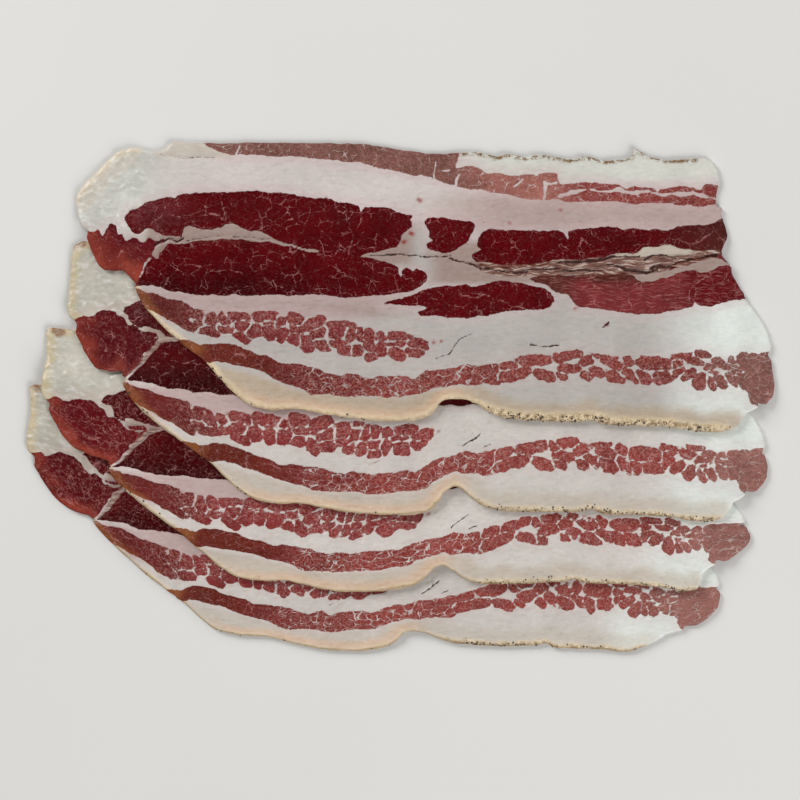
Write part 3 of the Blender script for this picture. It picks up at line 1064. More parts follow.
    def shade_fat(self, x: np.ndarray, y: np.ndarray) -> None:
        """Mix each place's shade of fat, and find where it is torn, scorched or peppered."""
        flap = np.hypot((x - 92.0) / 20.0, (y - 53.0) / 3.2) + 0.25 * self.noise(x, y, 3.0, 41)
        flap = ramp(flap, 1.05, 0.7) * ramp(self.fields["lean"], 0.3, -0.5)
        crusty = self.zone("crusty")
        width = (1.5 + 1.7 * crusty) * self.mood.crust + 0.5 * self.noise(x, y, 4.0, 30)
        tone = self.laid(self.plain_fat(x, y, flap), self.rind_layers(x, y, width))
        tone = self.laid(tone, self.corner_layers(x, y))
        for cx, cy, radius, strength in STAINS:
            away = np.hypot(x - cx, (y - cy) * 1.2) + 0.5 * self.noise(x, y, 1.4, 40)
            tone = self.mix(tone, Fat.STAIN.linear(), strength * ramp(away, radius * 1.3, radius * 0.3))
        mottle = 1.0 + 0.05 * self.noise(x, y, 9.0, 31) + 0.035 * self.noise(x, y * 2.0, 2.5, 32)
        self.fields["fat_tone"] = tone * mottle[:, None]
        self.fields["crumple"] = self.zone("crumpled")
        self.fields["torn"] = self.torn_share(x, y) * (1.0 - 0.6 * flap)
        if not self.top:
            away = line_distance(np.array(LOWER_SEAMS[0][1], float), x, y, False)
            cleft = 0.5 * ramp(away, 0.9 + 0.9 * self.mood.cleft, 0.5)
            self.fields["torn"] = np.maximum(self.fields["torn"], cleft)
        self.measure_rind(x, y, width, crusty)

    def plain_fat(self, x: np.ndarray, y: np.ndarray, flap: np.ndarray) -> np.ndarray:
        """The fat's shade before the rind and the corner are laid over it."""
        belly = self.mood.belly
        corner = Fat.CORNER.linear() * self.mood.corner * (0.94 + 0.10 * self.noise(x, y, 5.0, 39))[:, None]
        band = np.minimum(Fat.BAND.linear() * (0.4 + 0.6 * belly), 0.7)
        near = ramp(self.fields["lean"], -4.5, -0.5)
        plain = np.tile(np.minimum(Fat.BELLY.linear() * belly, 0.75), (len(x), 1))
        return self.laid(plain, [
            (Fat.BACK.linear(), self.zone("back")),
            (corner, self.zone("corner")),
            (corner * 0.85, self.zone("corner_foot")),
            (Fat.BAND.linear(), self.zone("band")),
            (Fat.CORNER.linear(), self.zone("top_right")),
            (band * 0.88, self.zone("wedge")),
            (Fat.BRIGHT.linear(), self.zone("far_right")),
            (Fat.BRIGHT.linear(), 0.8 * self.zone("right_foot")),
            (Fat.PINK.linear() * (0.85 + 0.15 * belly), near * (0.20 + 0.18 * self.zone("blush"))),
            (Fat.SEAM.linear(), np.maximum(self.zone("left_seam"), self.zone("right_seam"))),
            (Fat.TRIMMED.linear(), 0.8 * flap)])

    def rind_layers(self, x: np.ndarray, y: np.ndarray, width: np.ndarray) -> Layers:
        """The shades that lie over the fat by the rind, each with its share."""
        rind, mood = self.fields["rind"], self.mood
        under = mood.warmth * ramp(self.above_strip(x, y), 1.0, -1.5)
        reach = 5.5 + 5.5 * self.zone("broad_rind") + 1.2 * self.noise(x, y, 6.0, 34)
        return [
            (Fat.RIND.linear(), under * ramp(rind, reach + 3.5, reach - 1.5)),
            (Fat.PEACH.linear(), 0.65 * self.zone("peach") * ramp(rind, 5.6, 2.2)),
            (Fat.CREAM.linear(), 0.85 * ramp(rind, width + 1.5, width - 0.7)),
            (Fat.SCORCH.linear(), mood.edge * ramp(rind, 0.9, 0.2))]

    def corner_layers(self, x: np.ndarray, y: np.ndarray) -> Layers:
        """The shades that lie over the fat corner's edges, each with its share."""
        edge = self.fields["corner"]
        cream = (Fat.CREAM.linear(), 0.45 * ramp(edge, 2.6, 0.6))
        if self.top:
            return [
                (Fat.TRIMMED.linear(), 0.7 * self.zone("lip")),
                (Fat.TRIMMED.linear(), 0.75 * ramp(edge, 8.0, 4.5) * self.zone("trimmed")), cream]
        side = self.fields["rim"] + 0.8 * self.noise(x, y, 3.0, 37)
        chip = np.hypot(x + 114.4, (y - 88.2) * 1.4) + 1.6 * self.noise(x, y, 1.8, 38)
        return [
            cream, (Fat.WAXY.linear(), 0.22 * self.zone("waxy")),
            (Fat.WAXY.linear(), 0.8 * ramp(side, 4.4, 1.0) * self.zone("waxy_side")),
            (Fat.CHIP.linear(), 0.8 * ramp(chip, 3.6, 1.6))]

    def measure_rind(self, x: np.ndarray, y: np.ndarray, width: np.ndarray, crusty: np.ndarray) -> None:
        """Find where the rind is scorched and where pepper clings to it."""
        rind = self.fields["rind"]
        scorch = (0.45 + 0.55 * crusty) * ramp(rind, width + 0.8, width - 0.9)
        if self.top:
            edge = line_distance(np.array(TOP_EDGE[:BURNT_EDGE], float), x, y, False)
            scorch = np.maximum(scorch, 1.6 * ramp(edge, 1.9, 0.5) * self.zone("burnt"))
        self.fields["scorch"] = scorch
        clump = ramp(self.noise(x, y, 2.8, 36), -0.25, 0.55)
        spread = 1.5 + 1.9 * crusty * self.mood.crust
        self.fields["pepper"] = (0.12 + 0.88 * clump) * ramp(rind, spread, 0.8) * (0.12 + 0.88 * crusty)

    @staticmethod
    def above_strip(x: np.ndarray, y: np.ndarray) -> np.ndarray:
        """How far above the belly strip's lower edge a place lies; below nothing on the rind's side."""
        strip = np.array(STRIP_FOOT, float)
        return y - np.interp(x, strip[:, 0], strip[:, 1])

    def relief(self) -> np.ndarray:
        """The height of each place above the flat cut face, in millimetres."""
        x, y = self.spots.T
        lean = self.fields["lean"]
        height = -LEAN_SINK * ramp(lean, -0.3, 0.8) + 0.05 * ramp(lean, -1.6, -0.5) * ramp(lean, 0.2, -0.3)
        height += 0.07 * self.noise(x, y, 14.0, 50) + 0.035 * self.noise(x, y, 4.5, 51)
        height += 0.03 * self.noise(x, y * 1.6, 1.5, 52) * (1.0 + self.fields["bundles"])
        height += 0.10 * ramp(self.fields["seam"], 0.5, -0.1) * ramp(lean, -0.2, 0.4)
        layers = 1.0 - 2.0 * np.abs(self.noise(x * 0.22, y - 0.05 * x, 1.5, 53))
        height += self.fields["torn"] * (0.22 * layers + 0.14 * self.noise(x, y, 1.3, 54))
        height -= self.fields["sink"]
        folds = 1.0 - 2.0 * np.abs(self.noise((x + 0.6 * y) * 0.7, (y - 0.6 * x) * 1.2, 3.0, 55))
        height += self.zone("folded") * (0.26 * folds + 0.16 * self.noise(x, y, 1.6, 57))
        crust = ramp(self.fields["rind"], 3.2, 0.8)
        height += crust * (0.03 + 0.12 * self.noise(x, y, 1.2, 56))
        return height - 0.55 * (1.0 - ramp(self.fields["rim"], -0.5, 1.1))


def rest_levels(spots: np.ndarray, outlines: dict[int, np.ndarray], number: int) -> np.ndarray:
    """The height of a slice's underside over the slices below it, in millimetres."""
    x, y = spots.T
    level = np.zeros(len(x))
    for below in range(number, 5):
        for cx, cy, wide, deep, rise in RIPPLES[below]:
            level += rise * np.exp(-(((x - cx) / wide) ** 2) - ((y - cy) / deep) ** 2)
        if below > number:
            away = -np.minimum(depth_inside(outlines[below], x, y), 0.0)
            level += CLIMB * ramp(away, CLIMB_MARGIN + CLIMB_RUN, CLIMB_MARGIN)
    return level


class Nodes:
    """A short way to write a shader or geometry tree."""

    def __init__(self, tree: bpy.types.NodeTree) -> None:
        """Keep the tree that the nodes go into."""
        self.tree = tree

    def add(self, kind: str, values: Values | None = None, **settings: object) -> bpy.types.Node:
        """Add a node.

        Args:
            kind: The node's type name.
            values: A value or a socket to link for each input, by name or number.
            **settings: The node's own properties.

        Returns:
            The node.
        """
        node = self.tree.nodes.new(kind)
        for name, value in settings.items():
            setattr(node, name, value)
        for name, value in (values or {}).items():
            socket = node.inputs[name]
            if isinstance(value, Socket):
                self.tree.links.new(value, socket)
            else:
                socket.default_value = value
        return node

    def math(self, operation: str, first: object, second: object = 0.0, clamp: bool = False) -> Socket:
        """One sum on two numbers or sockets."""
        values = {0: first, 1: second}
        return self.add("ShaderNodeMath", values, operation=operation, use_clamp=clamp).outputs[0]

    def vector_math(self, operation: str, *values: object) -> Socket:
        """One sum on vectors."""
        return self.add("ShaderNodeVectorMath", dict(enumerate(values)), operation=operation).outputs[0]

    def product(self, first: object, *others: object) -> Socket:
        """Numbers or sockets multiplied together."""
        for other in others:
            first = self.math("MULTIPLY", first, other)
        return first

    def less(self, value: object, amount: object = 1.0) -> Socket:
        """What is left of one when an amount of the value is taken off."""
        return self.math("SUBTRACT", 1.0, self.product(value, amount))

    def step(self, value: object, low: object, high: object) -> Socket:
        """A smooth step from 0 at low to 1 at high."""
        values = {0: value, 1: low, 2: high, 3: 0.0, 4: 1.0}
        return self.add("ShaderNodeMapRange", values, interpolation_type="SMOOTHSTEP").outputs[0]

    def blend(self, share: object, first: object, second: object) -> Socket:
        """Mix two colours."""
        return self.add("ShaderNodeMix", {0: share, 6: first, 7: second}, data_type="RGBA").outputs[2]

    def tinted(self, colour: Socket, value: float, saturation: float = 1.0) -> Socket:
        """A colour made brighter or duller."""
        values = {"Value": value, "Saturation": saturation, "Color": colour}
        return self.add("ShaderNodeHueSaturation", values).outputs[0]

    def attribute(self, name: str, output: str = "Fac") -> Socket:
        """Read one of the mesh's attributes."""
        return self.add("ShaderNodeAttribute", attribute_name=name).outputs[output]

    def noise(self, vector: object, scale: float, detail: float = 2.0, rough: float = 0.5) -> Socket:
        """Fine noise between 0 and 1."""
        values = {"Vector": vector, "Scale": scale, "Detail": detail, "Roughness": rough}
        return self.add("ShaderNodeTexNoise", values).outputs["Fac"]

    def swing(self, vector: object, scale: float, detail: float = 2.0, rough: float = 0.5) -> Socket:
        """Fine noise between -0.5 and 0.5."""
        return self.math("SUBTRACT", self.noise(vector, scale, detail, rough), 0.5)

    def patches(self, vector: object, noise: tuple[float, ...], low: float, high: float) -> Socket:
        """Patches of 0 and 1 with soft edges, where noise rises from low to high."""
        return self.step(self.noise(vector, *noise), low, high)

    def cells(self, vector: object, scale: float, feature: str, randomness: float = 1.0) -> Socket:
        """How far each place is from a cell's edge or middle."""
        values = {"Vector": vector, "Scale": scale, "Randomness": randomness}
        return self.add("ShaderNodeTexVoronoi", values, feature=feature).outputs["Distance"]

    def drawn(self, vector: object, across: float, up: float, turn: float = 0.0) -> Socket:
        """Coordinates turned by an angle and drawn out."""
        values = {"Vector": vector, "Rotation": (0.0, 0.0, turn), "Scale": (across, up, 1.0)}
        return self.add("ShaderNodeMapping", values).outputs[0]

    def bent(self, vector: object, scale: float, detail: float, reach: float) -> Socket:
        """Coordinates pushed aside by smooth noise."""
        noise = self.add("ShaderNodeTexNoise", {"Vector": vector, "Scale": scale, "Detail": detail})
        push = self.vector_math("SUBTRACT", noise.outputs["Color"], (0.5, 0.5, 0.5))
        return self.vector_math("MULTIPLY_ADD", push, (reach, reach, 0.0), vector)


@dataclass(frozen=True)
class MeatFinish:
    """Moist cured pork: veined lean, smooth fat, cracks and a dry rind.

    Attributes:
        name: The material's name.
        roughness: How dull the cut face is.
        glow: How much light passes into the fat.
    """

    name: str
    roughness: float = 0.32
    glow: float = 0.06

    def build(self) -> bpy.types.Material:
        """Make the material."""
        material = bpy.data.materials.new(self.name)
        material.use_nodes = True
        tree = material.node_tree
        shader = tree.nodes["Principled BSDF"]
        nodes = Nodes(tree)
        place = nodes.attribute("section", "Vector")
        mask = self.lean_mask(nodes, place)
        tree.links.new(self.colour(nodes, place, mask), shader.inputs["Base Color"])
        shine = nodes.noise(place, 0.35, 3.0)
        rough = nodes.math("ADD", nodes.product(shine, 0.16), self.roughness - 0.08)
        rough = nodes.math("ADD", rough, nodes.product(nodes.attribute("dry"), 0.25), clamp=True)
        tree.links.new(rough, shader.inputs["Roughness"])
        tree.links.new(self.bump(nodes, place, mask), shader.inputs["Normal"])
        shader.inputs["IOR"].default_value = 1.4
        gloss = nodes.math("SUBTRACT", 0.42, nodes.product(mask, 0.32))
        tree.links.new(gloss, shader.inputs["Specular IOR Level"])
        shader.inputs["Subsurface Weight"].default_value = self.glow
        shader.inputs["Subsurface Radius"].default_value = (1.0, 0.45, 0.3)
        shader.inputs["Subsurface Scale"].default_value = 0.0012
        return material

    def lean_mask(self, nodes: Nodes, place: Socket) -> Socket:
        """The share of lean on the cut face, with its pale seams and the gaps between bundles left out."""
        bundles = nodes.attribute("bundles")
        ragged = nodes.swing(place, 0.75, 3.0, 0.6)
        bulge = nodes.math("SUBTRACT", 0.46, nodes.cells(place, 0.55, "F1"))
        depth = nodes.math("ADD", nodes.attribute("lean"), nodes.product(ragged, 1.1))
        bulge = nodes.product(bulge, nodes.product(bundles, 0.6))
        inside = nodes.step(nodes.math("ADD", depth, bulge), -0.14, 0.16)
        grid = nodes.drawn(nodes.bent(place, 0.32, 2.0, 3.4), 0.26, 0.45, 0.14)
        width = nodes.math("ADD", 0.028, nodes.product(nodes.swing(place, 0.36), 0.20))
        width = nodes.math("MULTIPLY", nodes.attribute("cells"), width, clamp=True)
        gap = nodes.step(
            nodes.cells(grid, 1.0, "DISTANCE_TO_EDGE", 0.95), nodes.math("SUBTRACT", width, 0.05),
            nodes.math("ADD", width, 0.012))
        seam = nodes.math("ADD", nodes.attribute("seam"), nodes.product(ragged, 0.8))
        closed = nodes.product(
            nodes.less(nodes.step(seam, -0.12, 0.14)), nodes.math("ADD", 0.80, nodes.product(bundles, 0.20)))
        return nodes.product(inside, gap, nodes.less(closed))

    def colour(self, nodes: Nodes, place: Socket, mask: Socket) -> Socket:
        """Mix the fat, the lean, the torn seam and the cracks."""
        mixed = nodes.blend(mask, self.fat(nodes, place), self.lean(nodes, place))
        layer = self.fibres(nodes, place, 0.16, 1.15)
        bark = nodes.blend(nodes.step(layer, 0.34, 0.46), Fat.BARK.rgba(), Fat.SCAB.rgba())
        bark = nodes.blend(nodes.step(layer, 0.50, 0.62), bark, Fat.FLAKE.rgba())
        torn = nodes.product(nodes.step(nodes.attribute("torn"), 0.15, 0.75), 0.88)
        mixed = nodes.blend(torn, mixed, bark)
        crack = nodes.attribute("crack")
        ragged = nodes.math("ADD", crack, nodes.product(nodes.swing(place, 0.9, 4.0, 0.7), 1.3))
        share = nodes.product(nodes.step(ragged, 0.40, 0.85), nodes.step(crack, 0.05, 0.35))
        return nodes.blend(share, mixed, Fat.CRACK.rgba())

    def fat(self, nodes: Nodes, place: Socket) -> Socket:
        """The fat, with its streaks, wet folds, specks and scorched spots."""
        fat = nodes.attribute("fat_tone", "Color")
        crumple = nodes.attribute("crumple")
        streak = nodes.patches(nodes.drawn(place, 0.34, 1.0, -0.10), (0.9, 4.0, 0.62), 0.44, 0.78)
        fat = nodes.blend(nodes.product(streak, nodes.less(crumple, 0.6)), fat, nodes.tinted(fat, 0.88, 1.25))
        light = nodes.tinted(fat, 1.12, 0.8)
        fat = nodes.blend(nodes.patches(place, (0.55, 4.0, 0.65), 0.5, 0.8), fat, light)
        wet = nodes.patches(nodes.drawn(place, 0.30, 0.62, 0.9), (1.0, 5.0, 0.66), 0.46, 0.72)
        fat = nodes.blend(nodes.product(wet, nodes.product(crumple, 0.5)), fat, Fat.WET.rgba())
        fat = nodes.blend(nodes.product(nodes.patches(place, (1.5, 3.0, 0.7), 0.60, 0.74), 0.35), fat, light)
        spots = nodes.math(
            "ADD", nodes.noise(place, 0.55, 3.0, 0.6), nodes.product(nodes.noise(place, 2.2, 3.0, 0.7), 0.6))
        scorch = nodes.product(nodes.step(spots, 0.68, 0.94), nodes.attribute("scorch"), 0.85)
        return nodes.blend(scorch, fat, Fat.SCORCH.rgba())

    def lean(self, nodes: Nodes, place: Socket) -> Socket:
        """The lean, with its grain, flecks, fibres and threads of fat."""
        lean = nodes.attribute("lean_tone", "Color")
        dark = nodes.tinted(lean, 0.62)
        lean = nodes.blend(nodes.patches(place, (1.5, 3.0, 0.7), 0.5, 0.3), lean, dark)
        pale = nodes.blend(0.40, lean, Lean.SALMON.rgba())
        grain = nodes.attribute("grain")
        net = nodes.step(nodes.cells(place, 0.95, "DISTANCE_TO_EDGE"), 0.12, 0.02)
        strands = nodes.step(self.fibres(nodes, place, 0.22, 1.9), 0.50, 0.66)
        shares = [
            nodes.product(nodes.patches(place, (1.25, 3.0, 0.65), 0.50, 0.63), nodes.product(grain, 0.85)),
            nodes.product(net, nodes.product(grain, 0.55), nodes.patches(place, (0.5, 2.0), 0.36, 0.60)),
            nodes.product(strands, nodes.product(nodes.attribute("fibre"), 0.65)),
            nodes.product(self.curls(nodes, place), nodes.attribute("curl"))]
        for share in shares:
            lean = nodes.blend(share, lean, pale)
        return nodes.blend(self.veins(nodes, place), lean, nodes.blend(0.44, lean, Lean.THREAD.rgba()))

    def fibres(self, nodes: Nodes, place: Socket, along: float, across: float) -> Socket:
        """Noise drawn out along the slice, given how often it changes in a millimetre each way."""
        lift = nodes.add("ShaderNodeCombineXYZ", {1: nodes.product(nodes.swing(place, 0.12), 5.0)}).outputs[0]
        moved = nodes.vector_math("ADD", place, lift)
        return nodes.noise(nodes.drawn(moved, along, across, -0.08), 1.0, 4.0, 0.62)

    def curls(self, nodes: Nodes, place: Socket) -> Socket:
        """Fine curled fibres, each a thin line where smooth noise crosses its middle."""
        lines = []
        for scale, thin in ((0.55, 0.024), (0.95, 0.034)):
            away = nodes.math("ABSOLUTE", nodes.swing(place, scale, 2.0, 0.45))
            lines.append(nodes.step(away, thin, 0.2 * thin))
        return nodes.product(nodes.math("MAXIMUM", *lines), nodes.patches(place, (0.8, 2.0), 0.42, 0.58))

    def veins(self, nodes: Nodes, place: Socket) -> Socket:
        """Thin forked threads and short dashes of fat through the lean."""
        cells = nodes.drawn(nodes.bent(place, 0.5, 3.0, 3.0), 0.21, 0.25)
        forks = nodes.step(nodes.cells(cells, 1.0, "F1"), 0.42, 0.66)
        broken = nodes.patches(place, (0.3, 3.0, 0.6), 0.44, 0.60)
        thread = nodes.step(nodes.cells(cells, 1.0, "DISTANCE_TO_EDGE"), 0.027, 0.005)
        thread = nodes.product(thread, nodes.product(forks, broken))
        dash = nodes.patches(nodes.drawn(place, 0.55, 2.0, 0.85), (1.0, 2.0, 0.55), 0.60, 0.74)
        dash = nodes.product(dash, nodes.patches(place, (0.22, 2.0), 0.35, 0.65))
        dots = nodes.patches(place, (1.3, 2.0, 0.5), 0.60, 0.70)
        dots = nodes.product(dots, nodes.step(nodes.attribute("lean"), 5.5, 1.0))
        spots = nodes.math("MAXIMUM", nodes.product(dash, 0.22), nodes.product(dots, 0.34))
        wander = nodes.product(nodes.swing(place, 0.9, 3.0), 0.7)
        line = nodes.step(nodes.math("ADD", nodes.attribute("thread"), wander), 0.24, -0.08)
        line = nodes.product(line, nodes.patches(place, (0.6, 2.0), 0.30, 0.52))
        return nodes.math("MAXIMUM", nodes.product(nodes.math("MAXIMUM", thread, line), 0.85), spots)

    def bump(self, nodes: Nodes, place: Socket, mask: Socket) -> Socket:
        """Fine grain, with the lean a hair below the fat."""
        fine = nodes.noise(place, 1.4, 4.0, 0.6)
        height = nodes.math("ADD", nodes.product(fine, 0.5), nodes.product(mask, -0.35))
        height = nodes.math("SUBTRACT", height, nodes.product(nodes.attribute("crack"), 0.6))
        layer = nodes.product(self.fibres(nodes, place, 0.16, 1.15), nodes.attribute("torn"))
        height = nodes.math("ADD", height, nodes.product(layer, 2.5))
        values = {"Strength": 0.55, "Distance": 0.00018, "Height": height}
        return nodes.add("ShaderNodeBump", values).outputs[0]


@dataclass(frozen=True)
class GrainFinish:
    """A dry crumb, such as a grain of pepper.

    Attributes:
        name: The material's name.
        dark: Its darker shade, as a 0 to 255 screen colour.
        light: Its lighter shade.
        roughness: How dull it is.
    """

    name: str
    dark: tuple[int, int, int]
    light: tuple[int, int, int]
    roughness: float

    def build(self) -> bpy.types.Material:
        """Make the material."""
        material = bpy.data.materials.new(self.name)
        material.use_nodes = True
        tree = material.node_tree
        shader = tree.nodes["Principled BSDF"]
        nodes = Nodes(tree)
        place = nodes.add("ShaderNodeTexCoord").outputs["Object"]
        spots = nodes.noise(place, 900.0, 3.0, 0.6)
        colour = nodes.blend(nodes.step(spots, 0.38, 0.62), srgb(*self.dark), srgb(*self.light))
        tree.links.new(colour, shader.inputs["Base Color"])
        grain = {"Strength": 0.5, "Distance": 0.0001, "Height": nodes.noise(place, 3000.0)}
        tree.links.new(nodes.add("ShaderNodeBump", grain).outputs[0], shader.inputs["Normal"])
        shader.inputs["Roughness"].default_value = self.roughness
        return material


class CrumbTree:
    """Geometry nodes that scatter pepper along the rind."""

    def __init__(self) -> None:
        """Build the tree with its named inputs."""
        self.tree = bpy.data.node_groups.new("rind_crumbs", "GeometryNodeTree")
        face = self.tree.interface
        face.new_socket("Geometry", in_out="INPUT", socket_type="NodeSocketGeometry")
        self.inputs: dict[str, str] = {}
        wanted = [
            ("Pepper per square metre", "NodeSocketFloat", 1.1e6),
            ("Pepper size", "NodeSocketFloat", 0.00030),
            ("Seed", "NodeSocketInt", 1),
            ("Pepper", "NodeSocketMaterial", None)]
        for name, kind, value in wanted:
            socket = face.new_socket(name, in_out="INPUT", socket_type=kind)
            if value is not None:
                socket.default_value = value
            self.inputs[name] = socket.identifier
        face.new_socket("Geometry", in_out="OUTPUT", socket_type="NodeSocketGeometry")
        self.nodes = Nodes(self.tree)
        self.wire()

    def wire(self) -> None:
        """Scatter the grains where the mesh's pepper field is high, and join them to the sheet."""
        nodes = self.nodes
        source = nodes.add("NodeGroupInput")
        share = nodes.add("GeometryNodeInputNamedAttribute", {"Name": "pepper"}, data_type="FLOAT")
        amount = nodes.product(share.outputs["Attribute"], source.outputs["Pepper per square metre"])
        points = nodes.add(
            "GeometryNodeDistributePointsOnFaces",
            {"Mesh": source.outputs["Geometry"], "Density": amount, "Seed": source.outputs["Seed"]},
            distribute_method="RANDOM")
        ball = nodes.add("GeometryNodeMeshIcoSphere", {"Radius": 1.0, "Subdivisions": 1}).outputs["Mesh"]
        lump = nodes.add("ShaderNodeTexNoise", {"Scale": 1.3, "Detail": 1.0}).outputs["Color"]
        push = nodes.vector_math("SUBTRACT", lump, (0.5, 0.5, 0.5))
        push = nodes.vector_math("MULTIPLY", push, (1.1, 1.1, 1.1))
        lumpy = nodes.add("GeometryNodeSetPosition", {"Geometry": ball, "Offset": push}).outputs[0]
        formed = nodes.add("GeometryNodeTransform", {"Geometry": lumpy, "Scale": (1.0, 0.8, 0.6)}).outputs[0]
        turn = nodes.add(
            "FunctionNodeRandomValue",
            {0: (-0.35, -0.35, -3.14), 1: (0.35, 0.35, 3.14), "Seed": source.outputs["Seed"]},
            data_type="FLOAT_VECTOR").outputs[0]
        swell = nodes.add(
            "FunctionNodeRandomValue", {2: 0.4, 3: 1.5, "Seed": source.outputs["Seed"]}, data_type="FLOAT")
        width = nodes.product(swell.outputs[1], source.outputs["Pepper size"])
        placed = nodes.add(
            "GeometryNodeInstanceOnPoints",
            {"Points": points.outputs["Points"], "Instance": formed, "Rotation": turn, "Scale": width})
        real = nodes.add("GeometryNodeRealizeInstances", {"Geometry": placed.outputs[0]}).outputs[0]
        finish = {"Geometry": real, "Material": source.outputs["Pepper"]}
        grains = nodes.add("GeometryNodeSetMaterial", finish).outputs[0]
        join = nodes.add("GeometryNodeJoinGeometry")
        for piece in (grains, source.outputs["Geometry"]):
            self.tree.links.new(piece, join.inputs[0])
        self.tree.links.new(join.outputs[0], nodes.add("NodeGroupOutput").inputs[0])

    def dress(self, item: bpy.types.Object, seed: int, pepper: bpy.types.Material) -> None:
        """Work the grains into an object's mesh."""
        modifier = item.modifiers.new("crumbs", "NODES")
        modifier.node_group = self.tree
        modifier[self.inputs["Seed"]] = seed
        modifier[self.inputs["Pepper"]] = pepper
        graph = bpy.context.evaluated_depsgraph_get()
        mesh = bpy.data.meshes.new_from_object(item.evaluated_get(graph))
        item.modifiers.remove(modifier)
        mesh.name = item.name
        item.data = mesh


@dataclass
class Slice:
    """One slice of the stack.

    Attributes:
        number: Its place from the top, 1 to 4.
        thickness: How thick it is cut, in millimetres.
    """

    number: int
    thickness: float = 1.8

    def build(self, outlines: dict[int, np.ndarray], centre: np.ndarray) -> bpy.types.Object:
        """Make the slice's mesh, in place over the slices below it.

        Args:
            outlines: Every slice's edge, where it lies.
            centre: The middle of the stack, in millimetres.

        Returns:
            The slice's object.
        """
        outline = section_outline(self.number)
        grid = SheetGrid(outline)
        section = Section(grid.spots, outline, self.number)
        spots = Shift(self.number)(grid.spots)
        bottom = rest_levels(spots, outlines, self.number)
        face = self.thickness + section.relief()
        z = bottom + np.where(grid.level > FACE_LEVEL, face, self.thickness * grid.level)
        corners = np.column_stack([spots - centre, z]) * MM
        mesh = bpy.data.meshes.new(f"slice_{self.number}_meat")
        mesh.from_pydata(corners.tolist(), [], grid.faces)
        mesh.validate()
        mesh.shade_smooth()
        self.store(mesh, grid, section)
        item = bpy.data.objects.new(mesh.name, mesh)
        bpy.context.scene.collection.objects.link(item)
        return item

    def store(self, mesh: bpy.types.Mesh, grid: SheetGrid, section: Section) -> None:
        """Write the section's fields into the mesh."""
        fields = section.fields
        fields["pepper"] = fields["pepper"] * (grid.level > FACE_LEVEL)
        fields["dry"] = np.clip(ramp(fields["rind"], 2.5, 0.5) + 0.6 * fields["crack"], 0.0, 1.0)
        for name in MESH_FIELDS:
            layer = mesh.attributes.new(name, "FLOAT", "POINT")
            layer.data.foreach_set("value", fields[name].astype(np.float32))
        place = np.column_stack([grid.spots, np.full(len(grid.spots), FINISH_SPACING * self.number)])
        layer = mesh.attributes.new("section", "FLOAT_VECTOR", "POINT")
        layer.data.foreach_set("vector", place.ravel().astype(np.float32))
        for name in ("lean_tone", "fat_tone"):
            layer = mesh.attributes.new(name, "FLOAT_COLOR", "POINT")
            tone = np.column_stack([np.clip(fields[name], 0.0, 1.0), np.ones(len(grid.spots))])
            layer.data.foreach_set("color", tone.ravel().astype(np.float32))

    def dress(self, item: bpy.types.Object, crumbs: CrumbTree, pepper: bpy.types.Material) -> None:
        """Give the slice its finishes and its crumbs, and let it stand for its solid."""
        item.data.materials.append(MeatFinish(f"cured_pork_{self.number}_finish").build())
        crumbs.dress(item, MOODS[self.number].seed, pepper)
        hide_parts(f"slice_{self.number}")
        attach(item, "root")


@dataclass
class BaconStack:
    """The stack of slices.

    Attributes:
        order: The slices' numbers, from the bottom one up.
    """

    order: tuple[int, ...] = (4, 3, 2, 1)

    def build(self) -> list[bpy.types.Object]:
        """Make and dress every slice."""
        outlines = {number: Shift(number)(section_outline(number)) for number in self.order}
        every = np.vstack(list(outlines.values()))
        centre = (every.min(0) + every.max(0)) / 2.0
        crumbs = CrumbTree()
        pepper = GrainFinish("black_pepper", (26, 18, 14), (74, 54, 38), 0.7).build()
        made = []
        for number in self.order:
            layer = Slice(number)
            item = layer.build(outlines, centre)
            layer.dress(item, crumbs, pepper)
            LOG.info("%s: %d faces", item.name, len(item.data.polygons))
            made.append(item)
        return made


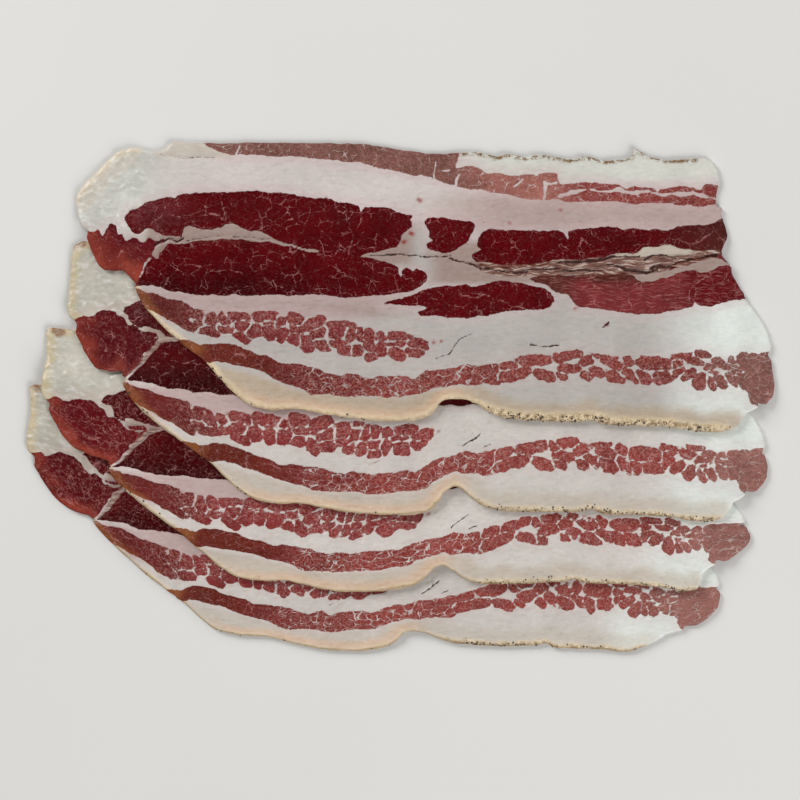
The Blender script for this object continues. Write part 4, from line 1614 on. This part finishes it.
@dataclass
class Studio:
    """A pale floor, soft lights and a camera straight above, in metres.

    Attributes:
        floor_size: The side of the square floor.
        lens: The camera's focal length, in millimetres.
        width: How wide a strip the picture shows at the stack's height.
        height: How high above the floor that strip lies.
        aim: Where the camera looks.
        air: How bright the light from all round is.
    """

    floor_size: float = 8.0
    lens: float = 85.0
    width: float = 0.288
    height: float = 0.004
    aim: tuple[float, float] = (-0.0002, -0.0012)
    air: float = 0.09

    def build(self) -> None:
        """Set up the floor, the lights and the camera."""
        self.floor()
        self.light("key", (-1.15, 1.0, 0.85), 0.8, 28.0)
        self.light("fill", (0.95, -1.15, 0.9), 1.1, 27.0)
        self.light("back", (0.9, 1.2, 0.8), 0.9, 7.0)
        world = bpy.data.worlds.new("studio_air")
        world.use_nodes = True
        background = world.node_tree.nodes["Background"]
        background.inputs["Color"].default_value = (1.0, 1.0, 1.0, 1.0)
        background.inputs["Strength"].default_value = self.air
        bpy.context.scene.world = world
        bpy.context.scene.view_settings.view_transform = "Standard"
        self.camera()

    def floor(self) -> None:
        """A plain pale floor."""
        half = self.floor_size / 2.0
        mesh = bpy.data.meshes.new("floor")
        corners = [(-half, -half, 0.0), (half, -half, 0.0), (half, half, 0.0), (-half, half, 0.0)]
        mesh.from_pydata(corners, [], [(0, 1, 2, 3)])
        item = bpy.data.objects.new("floor", mesh)
        bpy.context.scene.collection.objects.link(item)
        material = bpy.data.materials.new("floor_paint")
        material.use_nodes = True
        shader = material.node_tree.nodes["Principled BSDF"]
        nodes = Nodes(material.node_tree)
        place = nodes.add("ShaderNodeTexCoord").outputs["Object"]
        colour = nodes.blend(nodes.noise(place, 6.0), srgb(214, 213, 210), srgb(220, 219, 216))
        material.node_tree.links.new(colour, shader.inputs["Base Color"])
        shader.inputs["Roughness"].default_value = 0.8
        shader.inputs["Specular IOR Level"].default_value = 0.2
        mesh.materials.append(material)

    def light(self, name: str, place: tuple[float, float, float], size: float, power: float) -> None:
        """A soft square light that faces the stack."""
        lamp = bpy.data.lights.new(name, "AREA")
        lamp.shape = "SQUARE"
        lamp.size = size
        lamp.energy = power
        item = bpy.data.objects.new(name, lamp)
        item.location = place
        bpy.context.scene.collection.objects.link(item)
        away = np.array(place) / np.linalg.norm(place)
        tilt, turn = math.acos(away[2]), math.atan2(away[1], away[0])
        item.rotation_euler = (0.0, tilt, turn)

    def camera(self) -> None:
        """A camera that looks straight down."""
        data = bpy.data.cameras.new("camera")
        data.lens = self.lens
        data.sensor_width = SENSOR
        item = bpy.data.objects.new("camera", data)
        item.location = (*self.aim, self.width / SENSOR * self.lens + self.height)
        bpy.context.scene.collection.objects.link(item)
        bpy.context.scene.camera = item


def main() -> None:
    """Load the frame, dress the stack and set up the studio."""
    logging.basicConfig(level=logging.INFO, format="%(name)s: %(message)s")
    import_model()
    BaconStack().build()
    Studio().build()


if __name__ == "__main__":
    main()
